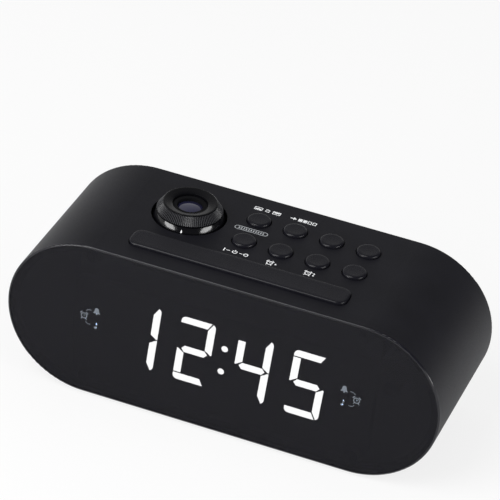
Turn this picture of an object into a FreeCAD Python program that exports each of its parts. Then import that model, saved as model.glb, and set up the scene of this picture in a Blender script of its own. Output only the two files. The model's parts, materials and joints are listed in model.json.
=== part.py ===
"""Projection alarm clock with a tilting projector, in millimetres.

The origin is the middle of the footprint on the table. X runs to the viewer's
right, Y to the back and Z up; the display faces -Y.
"""

import FreeCAD, Part
import math
import os

import Sketcher

Vector = FreeCAD.Vector
Constraint = Sketcher.Constraint
UP = Vector(0, 0, 1)

# Driving dimensions: alias, value, what it is
SIZES = [
    # Case
    ("case_width", 180.0, "sleeve width"),
    ("case_height", 68.0, "sleeve height; the ends are half circles of this height"),
    ("case_depth", 67.0, "sleeve depth"),
    ("case_wall", 2.6, "sleeve wall"),
    ("case_edge_round", 0.6, "round on the sleeve's front and back edges"),
    ("trim_gap", 0.15, "gap round the window and the covers"),
    ("screw_gap", 0.05, "gap between a screw and its pilot hole"),
    ("foot_radius", 5.0, "rubber foot radius"),
    ("foot_height", 1.2, "how far a foot stands proud"),
    ("foot_sink", 0.8, "how deep a foot sits in the case"),
    ("foot_inset_x", 11.0, "foot centres inside the screw bosses, sideways"),
    ("foot_inset_y", 11.5, "foot centres from the front and back edges"),
    # Window and display
    ("front_lip", 0.9, "thin edge of the sleeve round the window"),
    ("window_recess", 0.25, "window face behind the sleeve's front edge"),
    ("window_thick", 2.25, "window thickness"),
    ("ledge_width", 1.5, "ledge that the window is glued to"),
    ("ledge_thick", 1.5, "ledge thickness, front to back"),
    ("frame_post_length", 1.5, "posts behind the ledge that carry the display frame"),
    ("frame_plate_side", 6.5, "display frame plate beyond its screws, sideways"),
    ("frame_plate_thick", 1.8, "display frame plate thickness"),
    ("frame_corner", 6.0, "display frame corner radius"),
    ("light_box_width", 125.0, "raised light box width"),
    ("light_box_height", 36.0, "raised light box height"),
    ("light_box_corner", 3.0, "raised light box corner radius"),
    ("light_gap", 0.3, "air between the light box and the window"),
    ("digit_width", 14.3, "digit width"),
    ("digit_height", 30.0, "digit height"),
    ("digit_stroke", 3.0, "segment width"),
    ("digit_round", 2.0, "radius of the digits' outer corners"),
    ("digit_lean", 0.06, "sideways lean of the digits for each mm of height"),
    ("segment_gap", 0.5, "dark line between segments"),
    ("segment_mitre", 1.4, "where a mitre leaves a digit's edge, from its right side"),
    ("tip_turn", 64.0, "degrees that the outer round turns before a segment's tip"),
    ("digit_pitch", 22.75, "pitch of the digits in a pair"),
    ("colon_space", 24.0, "pitch of the digits either side of the colon"),
    ("digits_x", 0.4, "middle of the display, right of the case's middle"),
    ("digits_drop", 1.8, "middle of the digits below the case's middle"),
    ("colon_radius", 1.35, "colon dot radius"),
    ("colon_rise", 5.4, "colon dots above and below the digits' middle"),
    ("guide_radius", 2.6, "light guide behind an indicator"),
    ("display_board_width", 112.0, "display board width"),
    ("display_board_height", 36.0, "display board height"),
    ("board_thick", 1.6, "circuit board thickness"),
    # Rear cover
    ("cover_recess", 1.0, "cover face inside the sleeve's back edge"),
    ("cover_thick", 2.4, "rear cover thickness"),
    ("boss_radius", 3.2, "screw boss radius"),
    ("boss_length", 11.0, "rear boss length"),
    ("boss_bite", 0.4, "how far a boss runs into the wall beside it"),
    ("screw_radius", 1.2, "cover screw shank radius"),
    ("screw_head_radius", 2.3, "cover screw head radius"),
    ("screw_head_height", 1.2, "cover screw head height"),
    ("screw_length", 8.0, "cover screw shank length"),
    ("speaker_x", 45.0, "speaker centre, right of the middle"),
    ("speaker_drop", 2.2, "speaker centre below the case's middle"),
    ("speaker_radius", 20.0, "speaker frame radius"),
    ("speaker_depth", 13.0, "speaker frame depth"),
    ("speaker_rim", 2.0, "speaker rim thickness"),
    ("speaker_fence", 1.6, "wall of the fence that locates the speaker"),
    ("speaker_fence_height", 4.0, "height of that fence"),
    ("magnet_radius", 10.0, "speaker magnet radius"),
    ("magnet_length", 6.0, "speaker magnet length"),
    ("grille_radius", 16.0, "radius that the speaker slots fill"),
    ("slot_width", 1.8, "speaker slot width"),
    ("slot_pitch", 3.8, "speaker slot pitch"),
    # Power and main board
    ("main_board_side_gap", 2.8, "main board's ends inside the screw bosses"),
    ("main_board_back_gap", 2.1, "main board's back edge inside the rear cover"),
    ("main_board_front_gap", 19.5, "main board's front edge behind the case's front"),
    ("main_post_length", 5.2, "posts under the main board"),
    ("post_radius", 2.5, "board post radius"),
    ("post_inset", 4.0, "post centres from the board's edges"),
    ("small_screw_radius", 1.0, "board screw shank radius"),
    ("small_head_radius", 1.9, "board screw head radius"),
    ("small_head_height", 1.2, "board screw head height"),
    ("small_screw_length", 4.5, "board screw shank length below its head"),
    ("jack_x", -22.0, "power jack centre"),
    ("jack_width", 9.0, "power jack body width"),
    ("jack_height", 11.0, "power jack body height"),
    ("jack_length", 14.0, "power jack body length"),
    ("jack_axis_rise", 6.5, "jack axis above the board"),
    ("jack_nose_radius", 4.2, "round nose that shows through the cover"),
    ("jack_bore_radius", 2.8, "jack bore radius"),
    ("jack_bore_depth", 9.0, "jack bore depth"),
    ("jack_pin_radius", 1.0, "jack centre pin radius"),
    ("jack_pin_length", 8.0, "jack centre pin length"),
    ("gland_x", -62.0, "aerial gland centre"),
    ("gland_drop", 5.2, "aerial gland below the case's middle"),
    ("gland_radius", 2.5, "aerial gland neck radius"),
    ("gland_flange", 1.2, "aerial gland flange beyond the neck"),
    ("gland_bore", 1.0, "aerial gland bore radius"),
    ("gland_lip", 1.0, "aerial gland flange thickness"),
    ("chip_side", 12.0, "clock chip side"),
    ("chip_x", -8.0, "clock chip centre"),
    ("chip_y", -4.0, "clock chip centre"),
    ("can_radius", 3.2, "capacitor radius"),
    ("can_height", 9.0, "capacitor height"),
    ("can_pitch", 9.0, "pitch of the two capacitors, the first in the middle"),
    ("can_y", 14.0, "capacitor centres"),
    ("cell_x", 20.0, "backup cell centre"),
    ("cell_y", 5.0, "backup cell centre"),
    ("cell_radius", 10.0, "backup cell radius"),
    ("cell_height", 3.2, "backup cell height"),
    ("holder_wall", 2.0, "cell holder wall"),
    ("cell_gap", 0.2, "gap round the cell"),
    ("door_radius", 12.2, "battery door radius"),
    ("door_gap", 0.3, "gap round the battery door"),
    ("door_recess", 0.3, "door face above the case's underside"),
    ("door_tab_width", 4.0, "width of the door's locking tabs"),
    ("door_tab_reach", 2.0, "how far the tabs reach past the door's edge"),
    ("door_tab_thick", 1.1, "tab thickness"),
    ("door_slot_width", 1.6, "coin slot width"),
    ("door_slot_length", 14.0, "coin slot length"),
    ("door_slot_depth", 1.2, "coin slot depth"),
    # Keys
    ("key_first_offset", 26.1, "first button column, right of the projector"),
    ("key_pitch_x", 15.3, "button pitch, sideways"),
    ("key_front_y", -0.5, "front button row"),
    ("key_pitch_y", 16.5, "button pitch, front to back"),
    ("key_radius", 4.75, "button radius"),
    ("key_gap", 0.35, "gap round a button or the snooze bar"),
    ("key_rise", 1.2, "how far the buttons and the bar stand proud"),
    ("key_edge", 0.45, "round on a button's edge"),
    ("key_flange", 0.9, "flange beyond the hole"),
    ("key_flange_thick", 1.0, "flange thickness"),
    ("stop_gap", 0.1, "gap between a flange and the deck"),
    ("key_stem_radius", 2.0, "stem that presses a switch"),
    ("key_post_length", 8.2, "posts under the deck that carry the key board"),
    ("switch_side", 6.0, "tact switch side"),
    ("switch_height", 3.5, "tact switch height"),
    ("plunger_radius", 1.7, "switch plunger radius"),
    ("plunger_gap", 0.1, "gap round a plunger"),
    ("plunger_rise", 1.0, "plunger above its switch"),
    ("plunger_sink", 1.4, "plunger inside its switch"),
    ("plunger_well", 2.4, "depth of the well in the switch"),
    ("snooze_x", -0.8, "snooze bar centre"),
    ("snooze_length", 89.8, "snooze bar length"),
    ("snooze_clear", 0.35, "snooze flange clear of the display frame and the socket"),
    ("snooze_corner", 3.8, "snooze bar corner radius"),
    ("snooze_stem_spread", 30.0, "the bar's two stems from its middle"),
    ("key_board_margin", 4.0, "key board left of the first button column"),
    ("key_board_back", 6.0, "key board behind the back row of buttons"),
    ("key_strip_end", 55.0, "front strip of the key board from the middle"),
    ("key_strip_gap", 1.0, "front strip clear of the display frame and the socket"),
    ("key_strip_post", 51.6, "posts of the front strip from the middle"),
    # Projector
    ("projector_share", 0.17778, "projector left of the middle, as a share of the width"),
    ("projector_y", 7.0, "projector centre"),
    ("ball_drop", 5.0, "ball centre below the top of the case"),
    ("ball_radius", 14.8, "projector ball radius"),
    ("ball_wall", 2.2, "projector ball wall"),
    ("deck_hole_radius", 15.1, "round opening in the top of the case"),
    ("ball_top", 6.9, "flat shoulder of the ball above its centre"),
    ("ball_bottom", 9.0, "open bottom of the ball below its centre"),
    ("ball_gap", 0.3, "gap between the ball and the collar"),
    ("collar_radius", 17.0, "swivel collar outer radius"),
    ("collar_above", 2.2, "collar above the ball's centre"),
    ("collar_below", 4.5, "collar below the ball's centre"),
    ("swivel_gap", 0.1, "running gap round and under the collar"),
    ("pivot_radius", 1.5, "tilt pivot radius"),
    ("pivot_gap", 0.05, "running gap round a pivot"),
    ("pivot_end_gap", 0.4, "gap at the end of a pivot"),
    ("socket_wall", 1.7, "projector socket wall"),
    ("socket_lip", 1.3, "inner lip that carries the collar"),
    ("socket_lip_thick", 1.6, "lip thickness"),
    ("ear_circle", 21.5, "socket ear centres from the projector's axis"),
    ("ear_radius", 3.0, "socket ear radius"),
    ("ear_thick", 1.8, "socket ear thickness"),
    ("ear_post_length", 4.0, "posts under the deck that carry the socket"),
    ("neck_radius", 9.8, "neck that the focus wheel turns on"),
    ("neck_height", 2.2, "neck height above the ball's shoulder"),
    ("guide_bore", 6.8, "bore that the lens barrel slides in"),
    ("guide_wall", 1.8, "wall of that guide"),
    ("guide_bottom", 3.5, "guide's lower end below the ball's centre"),
    ("guide_ceiling", 5.0, "underside of the ball's thick crown"),
    ("wheel_lift", 0.3, "gap under the focus wheel"),
    ("wheel_gap", 0.1, "running gap between the wheel and the neck"),
    ("wheel_base_radius", 13.3, "focus wheel radius at its foot"),
    ("wheel_top_radius", 10.8, "focus wheel radius at its top"),
    ("wheel_height", 4.0, "focus wheel height"),
    ("wheel_rim", 0.8, "flat rim round the dished top"),
    ("wheel_dish", 0.8, "depth of the dish"),
    ("wheel_bore", 7.1, "focus wheel bore radius"),
    ("knurl_count", 100.0, "number of grip ribs"),
    ("knurl_depth", 0.3, "grip rib depth"),
    ("barrel_radius", 6.7, "lens barrel radius"),
    ("barrel_wall", 1.5, "lens barrel wall"),
    ("barrel_bottom", 2.2, "barrel's lower end below the ball's centre"),
    ("barrel_top", 9.5, "barrel's upper end above the ball's centre"),
    ("barrel_key_width", 1.5, "width of the keys that stop the barrel turning"),
    ("barrel_key_reach", 0.9, "how far the keys stand out"),
    ("key_slot_gap", 0.1, "gap round a barrel key"),
    ("lens_seat", 7.2, "lens seat above the ball's centre"),
    ("lens_edge", 0.9, "lens edge thickness"),
    ("lens_crown", 1.0, "lens crown height"),
    ("lens_shoulder", 0.9, "width of the lens seat"),
    ("lens_gap", 0.05, "gap round the lens"),
    ("cap_radius", 11.5, "projector's bottom cap radius"),
    ("cap_thick", 1.6, "projector's bottom cap thickness"),
    ("cap_plug_height", 1.5, "plug that centres the cap"),
    ("lamp_radius", 2.5, "projection lamp radius"),
    ("lamp_height", 2.6, "projection lamp height above its flange"),
    ("lamp_flange", 0.4, "projection lamp flange beyond the dome"),
    ("film_side", 11.0, "projection display side"),
    ("film_thick", 1.0, "projection display thickness"),
]

# Names of the buttons, left to right, back row then front row
BUTTON_ROWS = [
    ["flip_button", "memory_button", "up_button", "down_button"],
    ["projection_button", "alarm_one_button", "alarm_two_button", "light_button"],
]
# Segments that are lit in each digit, for twelve forty-five
LIT_DIGITS = ["bc", "abged", "fgbc", "afgcd"]
ALL_SEGMENTS = "abcdefg"
# Indicator places on the front face, from the middle of the case
INDICATORS = [
    (-58.4, -0.1),
    (-53.2, 3.4),
    (-53.2, -3.3),
    (50.4, 1.7),
    (50.3, -4.6),
    (55.8, -1.9),
]
EAR_ANGLES = [45, 180, 315]
CORNERS = [(-1, -1), (1, -1), (1, 1), (-1, 1)]

doc = FreeCAD.newDocument("ProjectionClock")
sheet = doc.addObject("Spreadsheet::Sheet", "Sizes")
for row, (alias, number, note) in enumerate(SIZES, start=1):
    sheet.set(f"A{row}", note)
    sheet.set(f"B{row}", f"{number:g}")
    sheet.setAlias(f"B{row}", alias)
doc.recompute()

pieces = []

# Levels and planes that several pieces share
FRONT_Y = "(-Sizes.case_depth / 2)"
BACK_Y = "(Sizes.case_depth / 2)"
WINDOW_BACK_Y = f"({FRONT_Y} + Sizes.window_recess + Sizes.window_thick)"
LEDGE_BACK_Y = f"({WINDOW_BACK_Y} + Sizes.ledge_thick)"
PLATE_FRONT_Y = f"({LEDGE_BACK_Y} + Sizes.frame_post_length)"
PLATE_BACK_Y = f"({PLATE_FRONT_Y} + Sizes.frame_plate_thick)"
LIGHT_FACE_Y = f"({WINDOW_BACK_Y} + Sizes.light_gap)"
LIGHT_DEPTH = f"({PLATE_BACK_Y} - {LIGHT_FACE_Y})"
COVER_FACE_Y = f"({BACK_Y} - Sizes.cover_recess)"
COVER_INSIDE_Y = f"({COVER_FACE_Y} - Sizes.cover_thick)"
MIDDLE_Z = "(Sizes.foot_height + Sizes.case_height / 2)"
TOP_Z = "(Sizes.foot_height + Sizes.case_height)"
DECK_Z = f"({TOP_Z} - Sizes.case_wall)"
FLOOR_Z = "(Sizes.foot_height + Sizes.case_wall)"
MAIN_BOARD_Z = f"({FLOOR_Z} + Sizes.main_post_length)"
KEY_BOARD_Z = f"({DECK_Z} - Sizes.key_post_length)"
SWITCH_TOP_Z = f"({KEY_BOARD_Z} + Sizes.switch_height)"
PLUNGER_TOP_Z = f"({SWITCH_TOP_Z} + Sizes.plunger_rise)"
FLANGE_TOP_Z = f"({DECK_Z} - Sizes.stop_gap)"
FLANGE_UNDER_Z = f"({FLANGE_TOP_Z} - Sizes.key_flange_thick)"
KEY_TOP_Z = f"({TOP_Z} + Sizes.key_rise)"
BALL_Z = f"({TOP_Z} - Sizes.ball_drop)"
# Screw places shared by the sleeve, the display frame and the rear cover
BOSS_X = "((Sizes.case_width - Sizes.case_height) / 2)"
BOSS_RISE = "(Sizes.case_height / 2 - Sizes.case_wall - Sizes.boss_radius + Sizes.boss_bite)"
FOOT_X = f"({BOSS_X} - Sizes.foot_inset_x)"
FOOT_Y = "(Sizes.case_depth / 2 - Sizes.foot_inset_y)"
# Main board, from the bosses beside it, the front of the case and the rear cover
BOARD_REACH = f"({BOSS_X} - Sizes.boss_radius - Sizes.main_board_side_gap)"
BOARD_FRONT_Y = f"({FRONT_Y} + Sizes.main_board_front_gap)"
BOARD_BACK_Y = f"({COVER_INSIDE_Y} - Sizes.main_board_back_gap)"
INNER_WIDTH = "(Sizes.case_width - 2 * Sizes.case_wall)"
INNER_HEIGHT = "(Sizes.case_height - 2 * Sizes.case_wall)"
WINDOW_SEAT_WIDTH = "(Sizes.case_width - 2 * Sizes.front_lip)"
WINDOW_SEAT_HEIGHT = "(Sizes.case_height - 2 * Sizes.front_lip)"
PILOT_RADIUS = "(Sizes.screw_radius + Sizes.screw_gap)"
SMALL_PILOT_RADIUS = "(Sizes.small_screw_radius + Sizes.screw_gap)"
JACK_Z = f"({MAIN_BOARD_Z} + Sizes.board_thick + Sizes.jack_axis_rise)"
SPEAKER_Z = f"({MIDDLE_Z} - Sizes.speaker_drop)"
GLAND_Z = f"({MIDDLE_Z} - Sizes.gland_drop)"
# Projector, the snooze bar between it and the display frame, and the buttons beside it
SOCKET_BORE = "(Sizes.collar_radius + Sizes.swivel_gap)"
SOCKET_RADIUS = f"({SOCKET_BORE} + Sizes.socket_wall)"
PROJECTOR_X = "(-Sizes.case_width * Sizes.projector_share)"
SNOOZE_BACK_Y = f"(Sizes.projector_y - {SOCKET_RADIUS})"
SNOOZE_Y = f"(({PLATE_BACK_Y} + {SNOOZE_BACK_Y}) / 2)"
SNOOZE_REACH = f"({SNOOZE_BACK_Y} - {SNOOZE_Y})"
SNOOZE_WIDTH = (
    f"(2 * ({SNOOZE_REACH} - Sizes.snooze_clear - Sizes.key_gap - Sizes.key_flange))"
)
KEY_FIRST_X = f"({PROJECTOR_X} + Sizes.key_first_offset)"
# Points of a sketched line or arc, and a sketch's own origin and axes
START, END, CENTRE = 1, 2, 3
ORIGIN = (-1, START)
ACROSS, UPRIGHT = -1, -2


def value(expression):
    """Number that an expression on the sheet comes to."""
    result = sheet.evalExpression(expression)
    return float(getattr(result, "Value", result))


def bind(thing, **expressions):
    """Tie properties to expressions; two underscores in a name stand for a dot."""
    for name, expression in expressions.items():
        thing.setExpression(name.replace("__", "."), str(expression))


def place(thing, x="0", y="0", z="0"):
    """Tie a thing's place to expressions."""
    bind(thing, Placement__Base__x=x, Placement__Base__y=y, Placement__Base__z=z)
    return thing


def keep(thing, label):
    """Give a finished sub-part its name and put it on the list to export."""
    thing.Label = label
    pieces.append(thing)
    return thing


# Sketches


def new_body(name, x="0", y="0", z="0"):
    """Empty body at a place in the clock."""
    return place(doc.addObject("PartDesign::Body", name), x, y, z)


def new_sketch(body, plane, x="0", y="0", z="0"):
    """Sketch on one of the body's own origin planes, moved along it and off it."""
    sketch = body.newObject("Sketcher::SketchObject", f"{body.Name}_sketch")
    support = next(item for item in body.Origin.OriginFeatures if item.Role == plane)
    sketch.AttachmentSupport = [(support, "")]
    sketch.MapMode = "FlatFace"
    bind(
        sketch,
        AttachmentOffset__Base__x=x,
        AttachmentOffset__Base__y=y,
        AttachmentOffset__Base__z=z,
    )
    return sketch


def facing(body, x="0", y="0", z="0"):
    """Sketch that faces the viewer, at a depth y in the body; it reads x across and z up."""
    return new_sketch(body, "XZ_Plane", x, z, f"-({y})")


def level(body, x="0", y="0", z="0"):
    """Sketch that lies level at a height z in the body."""
    return new_sketch(body, "XY_Plane", x, y, z)


def dimension(sketch, kind, *where, size):
    """Add a driving dimension that follows an expression."""
    index = sketch.addConstraint(Constraint(kind, *where, value(size)))
    name = f"size_{index}"
    sketch.renameConstraint(index, name)
    sketch.setExpression(f"Constraints.{name}", size)


def pin_point(sketch, item, corner, x, y):
    """Hold one point of a sketch at x, y from the sketch's origin."""
    if x == "0" and y == "0":
        sketch.addConstraint(Constraint("Coincident", item, corner, *ORIGIN))
        return
    for kind, axis, size in (("DistanceX", UPRIGHT, x), ("DistanceY", ACROSS, y)):
        if size == "0":
            sketch.addConstraint(Constraint("PointOnObject", item, corner, axis))
        else:
            dimension(sketch, kind, *ORIGIN, item, corner, size=size)


def circle(sketch, radius, x="0", y="0"):
    """Draw a circle."""
    centre = Vector(value(x), value(y), 0)
    item = sketch.addGeometry(Part.Circle(centre, UP, value(radius)), False)
    pin_point(sketch, item, CENTRE, x, y)
    dimension(sketch, "Radius", item, size=radius)


def outline(sketch, corners):
    """Draw a closed outline through (x, y) corners.

    A corner with a third entry starts an arc whose centre is on the sketch's upright axis.
    """
    spots = [(value(corner[0]), value(corner[1])) for corner in corners]
    ends = []
    for index, corner in enumerate(corners):
        (x1, y1), (x2, y2) = spots[index], spots[(index + 1) % len(spots)]
        if len(corner) == 2:
            line = Part.LineSegment(Vector(x1, y1, 0), Vector(x2, y2, 0))
            ends.append((sketch.addGeometry(line, False), START, END))
            continue
        middle = (x1**2 - x2**2 + y1**2 - y2**2) / (2 * (y1 - y2))
        first, last = math.atan2(y1 - middle, x1), math.atan2(y2 - middle, x2)
        ring = Part.Circle(Vector(0, middle, 0), UP, math.hypot(x1, y1 - middle))
        arc = Part.ArcOfCircle(ring, min(first, last), max(first, last))
        item = sketch.addGeometry(arc, False)
        sketch.addConstraint(Constraint("PointOnObject", item, CENTRE, UPRIGHT))
        ends.append((item, START, END) if last > first else (item, END, START))
    for index, corner in enumerate(corners):
        item, start, _ = ends[index]
        before, _, stop = ends[index - 1]
        sketch.addConstraint(Constraint("Coincident", before, stop, item, start))
        pin_point(sketch, item, start, corner[0], corner[1])


def rectangle(sketch, x_low, x_high, y_low, y_high):
    """Draw a rectangle between two corners."""
    outline(sketch, [(x_low, y_low), (x_high, y_low), (x_high, y_high), (x_low, y_high)])


def rounded_rectangle(sketch, width, height, radius):
    """Draw a rectangle with round corners about the sketch's origin."""
    wide, high, turn = value(width) / 2, value(height) / 2, value(radius)
    first = sketch.GeometryCount
    for index, (side, rise) in enumerate([(1, 1), (-1, 1), (-1, -1), (1, -1)]):
        centre = Vector(side * (wide - turn), rise * (high - turn), 0)
        start = index * math.pi / 2
        arc = Part.ArcOfCircle(Part.Circle(centre, UP, turn), start, start + math.pi / 2)
        sketch.addGeometry(arc, False)
    for index in range(4):
        start = sketch.Geometry[first + index].EndPoint
        stop = sketch.Geometry[first + (index + 1) % 4].StartPoint
        line = sketch.addGeometry(Part.LineSegment(start, stop), False)
        after = first + (index + 1) % 4
        sketch.addConstraint(Constraint("Tangent", first + index, END, line, START))
        sketch.addConstraint(Constraint("Tangent", line, END, after, START))
        sketch.addConstraint(Constraint("Horizontal" if index % 2 == 0 else "Vertical", line))
    for index in range(1, 4):
        sketch.addConstraint(Constraint("Equal", first, first + index))
    sketch.addConstraint(Constraint("Symmetric", first, CENTRE, first + 2, CENTRE, *ORIGIN))
    dimension(sketch, "Radius", first, size=radius)
    centre = (*ORIGIN, first, CENTRE)
    dimension(sketch, "DistanceX", *centre, size=f"({width}) / 2 - ({radius})")
    dimension(sketch, "DistanceY", *centre, size=f"({height}) / 2 - ({radius})")


def stadium(sketch, width, height):
    """Draw a bar with half-round ends about the sketch's origin."""
    reach, end = (value(width) - value(height)) / 2, value(height) / 2
    quarter = math.pi / 2
    left_ring = Part.Circle(Vector(-reach, 0, 0), UP, end)
    right_ring = Part.Circle(Vector(reach, 0, 0), UP, end)
    left = sketch.addGeometry(Part.ArcOfCircle(left_ring, quarter, 3 * quarter), False)
    right = sketch.addGeometry(Part.ArcOfCircle(right_ring, -quarter, quarter), False)
    lower = Part.LineSegment(Vector(-reach, -end, 0), Vector(reach, -end, 0))
    upper = Part.LineSegment(Vector(reach, end, 0), Vector(-reach, end, 0))
    under = sketch.addGeometry(lower, False)
    over = sketch.addGeometry(upper, False)
    loop = [left, under, right, over]
    for item, after in zip(loop, loop[1:] + loop[:1]):
        sketch.addConstraint(Constraint("Tangent", item, END, after, START))
    sketch.addConstraint(Constraint("Horizontal", under))
    sketch.addConstraint(Constraint("Symmetric", left, CENTRE, right, CENTRE, *ORIGIN))
    dimension(sketch, "DistanceX", left, CENTRE, right, CENTRE, size=f"({width}) - ({height})")
    dimension(sketch, "Radius", right, size=f"({height}) / 2")


# Features


def pad(body, sketch, length, flip=False, both=False):
    """Raise a sketch: a facing one to the front and a level one up, or the other way if flipped."""
    feature = body.newObject("PartDesign::Pad", f"{body.Name}_pad")
    feature.Profile = sketch
    feature.Reversed = flip
    if both:
        feature.SideType = "Symmetric"
    bind(feature, Length=length)
    return feature


def pocket(body, sketch, length, flip=False, both=False):
    """Sink a sketch: a facing one to the back and a level one down, or the other way if flipped."""
    feature = body.newObject("PartDesign::Pocket", f"{body.Name}_pocket")
    feature.Profile = sketch
    feature.Reversed = flip
    if both:
        feature.SideType = "Symmetric"
    bind(feature, Length=length)
    return feature


def revolve(body, corners):
    """Turn an outline of (radius, height) corners about the body's upright axis."""
    sketch = new_sketch(body, "XZ_Plane")
    outline(sketch, corners)
    feature = body.newObject("PartDesign::Revolution", f"{body.Name}_turn")
    feature.Profile = sketch
    feature.ReferenceAxis = (sketch, ["V_Axis"])
    feature.Angle = 360
    return feature


def turned(name, corners, x="0", y="0", z="0"):
    """Body turned from one outline."""
    body = new_body(name, x, y, z)
    revolve(body, corners)
    return body


def round_edges(body, radius, chosen):
    """Round the edges of the body that a test picks."""
    doc.recompute()
    base = body.Tip
    names = [f"Edge{n}" for n, edge in enumerate(base.Shape.Edges, start=1) if chosen(edge)]
    feature = body.newObject("PartDesign::Fillet", f"{body.Name}_round")
    feature.Base = (base, names)
    bind(feature, Radius=radius)
    return feature


def box(name, x_low, x_high, y_low, y_high, z_low, z_high):
    """Box between two corners."""
    thing = doc.addObject("Part::Box", name)
    bind(
        thing,
        Length=f"({x_high}) - ({x_low})",
        Width=f"({y_high}) - ({y_low})",
        Height=f"({z_high}) - ({z_low})",
    )
    return place(thing, x_low, y_low, z_low)


def rod(name, radius, length, x="0", y="0", z="0", axis="Z"):
    """Cylinder that starts at x, y, z and runs along an axis."""
    thing = doc.addObject("Part::Cylinder", name)
    turns = {"X": (Vector(0, 1, 0), 90), "Y": (Vector(1, 0, 0), -90), "Z": (UP, 0)}
    thing.Placement = FreeCAD.Placement(Vector(), FreeCAD.Rotation(*turns[axis]))
    bind(thing, Radius=radius, Height=length)
    return place(thing, x, y, z)


def joined(name, shapes):
    """Several solids as one object."""
    thing = doc.addObject("Part::MultiFuse", name)
    thing.Shapes = shapes
    return thing


def less(name, base, tool):
    """One object with another cut out of it."""
    thing = doc.addObject("Part::Cut", name)
    thing.Base = base
    thing.Tool = tool
    return thing


def screws(label, places, axis, size, shank):
    """Pan-head screws whose heads stand on the given places, shanks along an axis.

    size is screw or small, and shank is +1 or -1, the way the shank points along the axis.
    """
    radius, head, height, length = {
        "screw": ("screw_radius", "screw_head_radius", "screw_head_height", "screw_length"),
        "small": (
            "small_screw_radius",
            "small_head_radius",
            "small_head_height",
            "small_screw_length",
        ),
    }[size]
    shapes = []
    for x, y, z in places:
        starts = {"x": x, "y": y, "z": z}
        line = axis.lower()
        ends = dict(starts)
        if shank > 0:
            ends[line] = f"({starts[line]}) - Sizes.{height}"
        else:
            starts[line] = f"({starts[line]}) - Sizes.{length}"
        shapes.append(rod("shank", f"Sizes.{radius}", f"Sizes.{length}", axis=axis, **starts))
        shapes.append(rod("head", f"Sizes.{head}", f"Sizes.{height}", axis=axis, **ends))
    return keep(joined(label, shapes), label)


def key_places():
    """Name, x and y of every round button."""
    for row, names in enumerate(BUTTON_ROWS):
        for column, name in enumerate(names):
            x = f"({KEY_FIRST_X} + {column} * Sizes.key_pitch_x)"
            y = f"(Sizes.key_front_y + {1 - row} * Sizes.key_pitch_y)"
            yield name, x, y


def snooze_places():
    """x and y of the snooze bar's two stems."""
    for side in (-1, 1):
        yield f"(Sizes.snooze_x + {side} * Sizes.snooze_stem_spread)", SNOOZE_Y


def key_post_places():
    """x and y of the posts that carry the key board."""
    middle_y = "(Sizes.key_front_y + Sizes.key_pitch_y / 2)"
    return [
        ("(-Sizes.key_strip_post)", SNOOZE_Y),
        ("Sizes.key_strip_post", SNOOZE_Y),
        (f"({KEY_FIRST_X} + Sizes.key_pitch_x / 2)", middle_y),
        (f"({KEY_FIRST_X} + 5 * Sizes.key_pitch_x / 2)", middle_y),
    ]


def ear_places():
    """x and y of the projector socket's ears, from the projector's axis."""
    for angle in EAR_ANGLES:
        yield f"(Sizes.ear_circle * cos({angle} deg))", f"(Sizes.ear_circle * sin({angle} deg))"


def frame_places():
    """x and z, from the middle of the case, of the screws at its four corners."""
    for side, rise in CORNERS:
        yield f"({side} * {BOSS_X})", f"({rise} * {BOSS_RISE})"


def main_post_places():
    """x and y of the main board's posts."""
    for side, back in CORNERS:
        edge = BOARD_BACK_Y if back > 0 else BOARD_FRONT_Y
        x = f"({side} * ({BOARD_REACH} - Sizes.post_inset))"
        yield x, f"({edge} - {back} * Sizes.post_inset)"


def foot_places():
    """x and y of the feet."""
    for side, back in CORNERS:
        yield f"({side} * {FOOT_X})", f"({back} * {FOOT_Y})"


# Case


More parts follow.
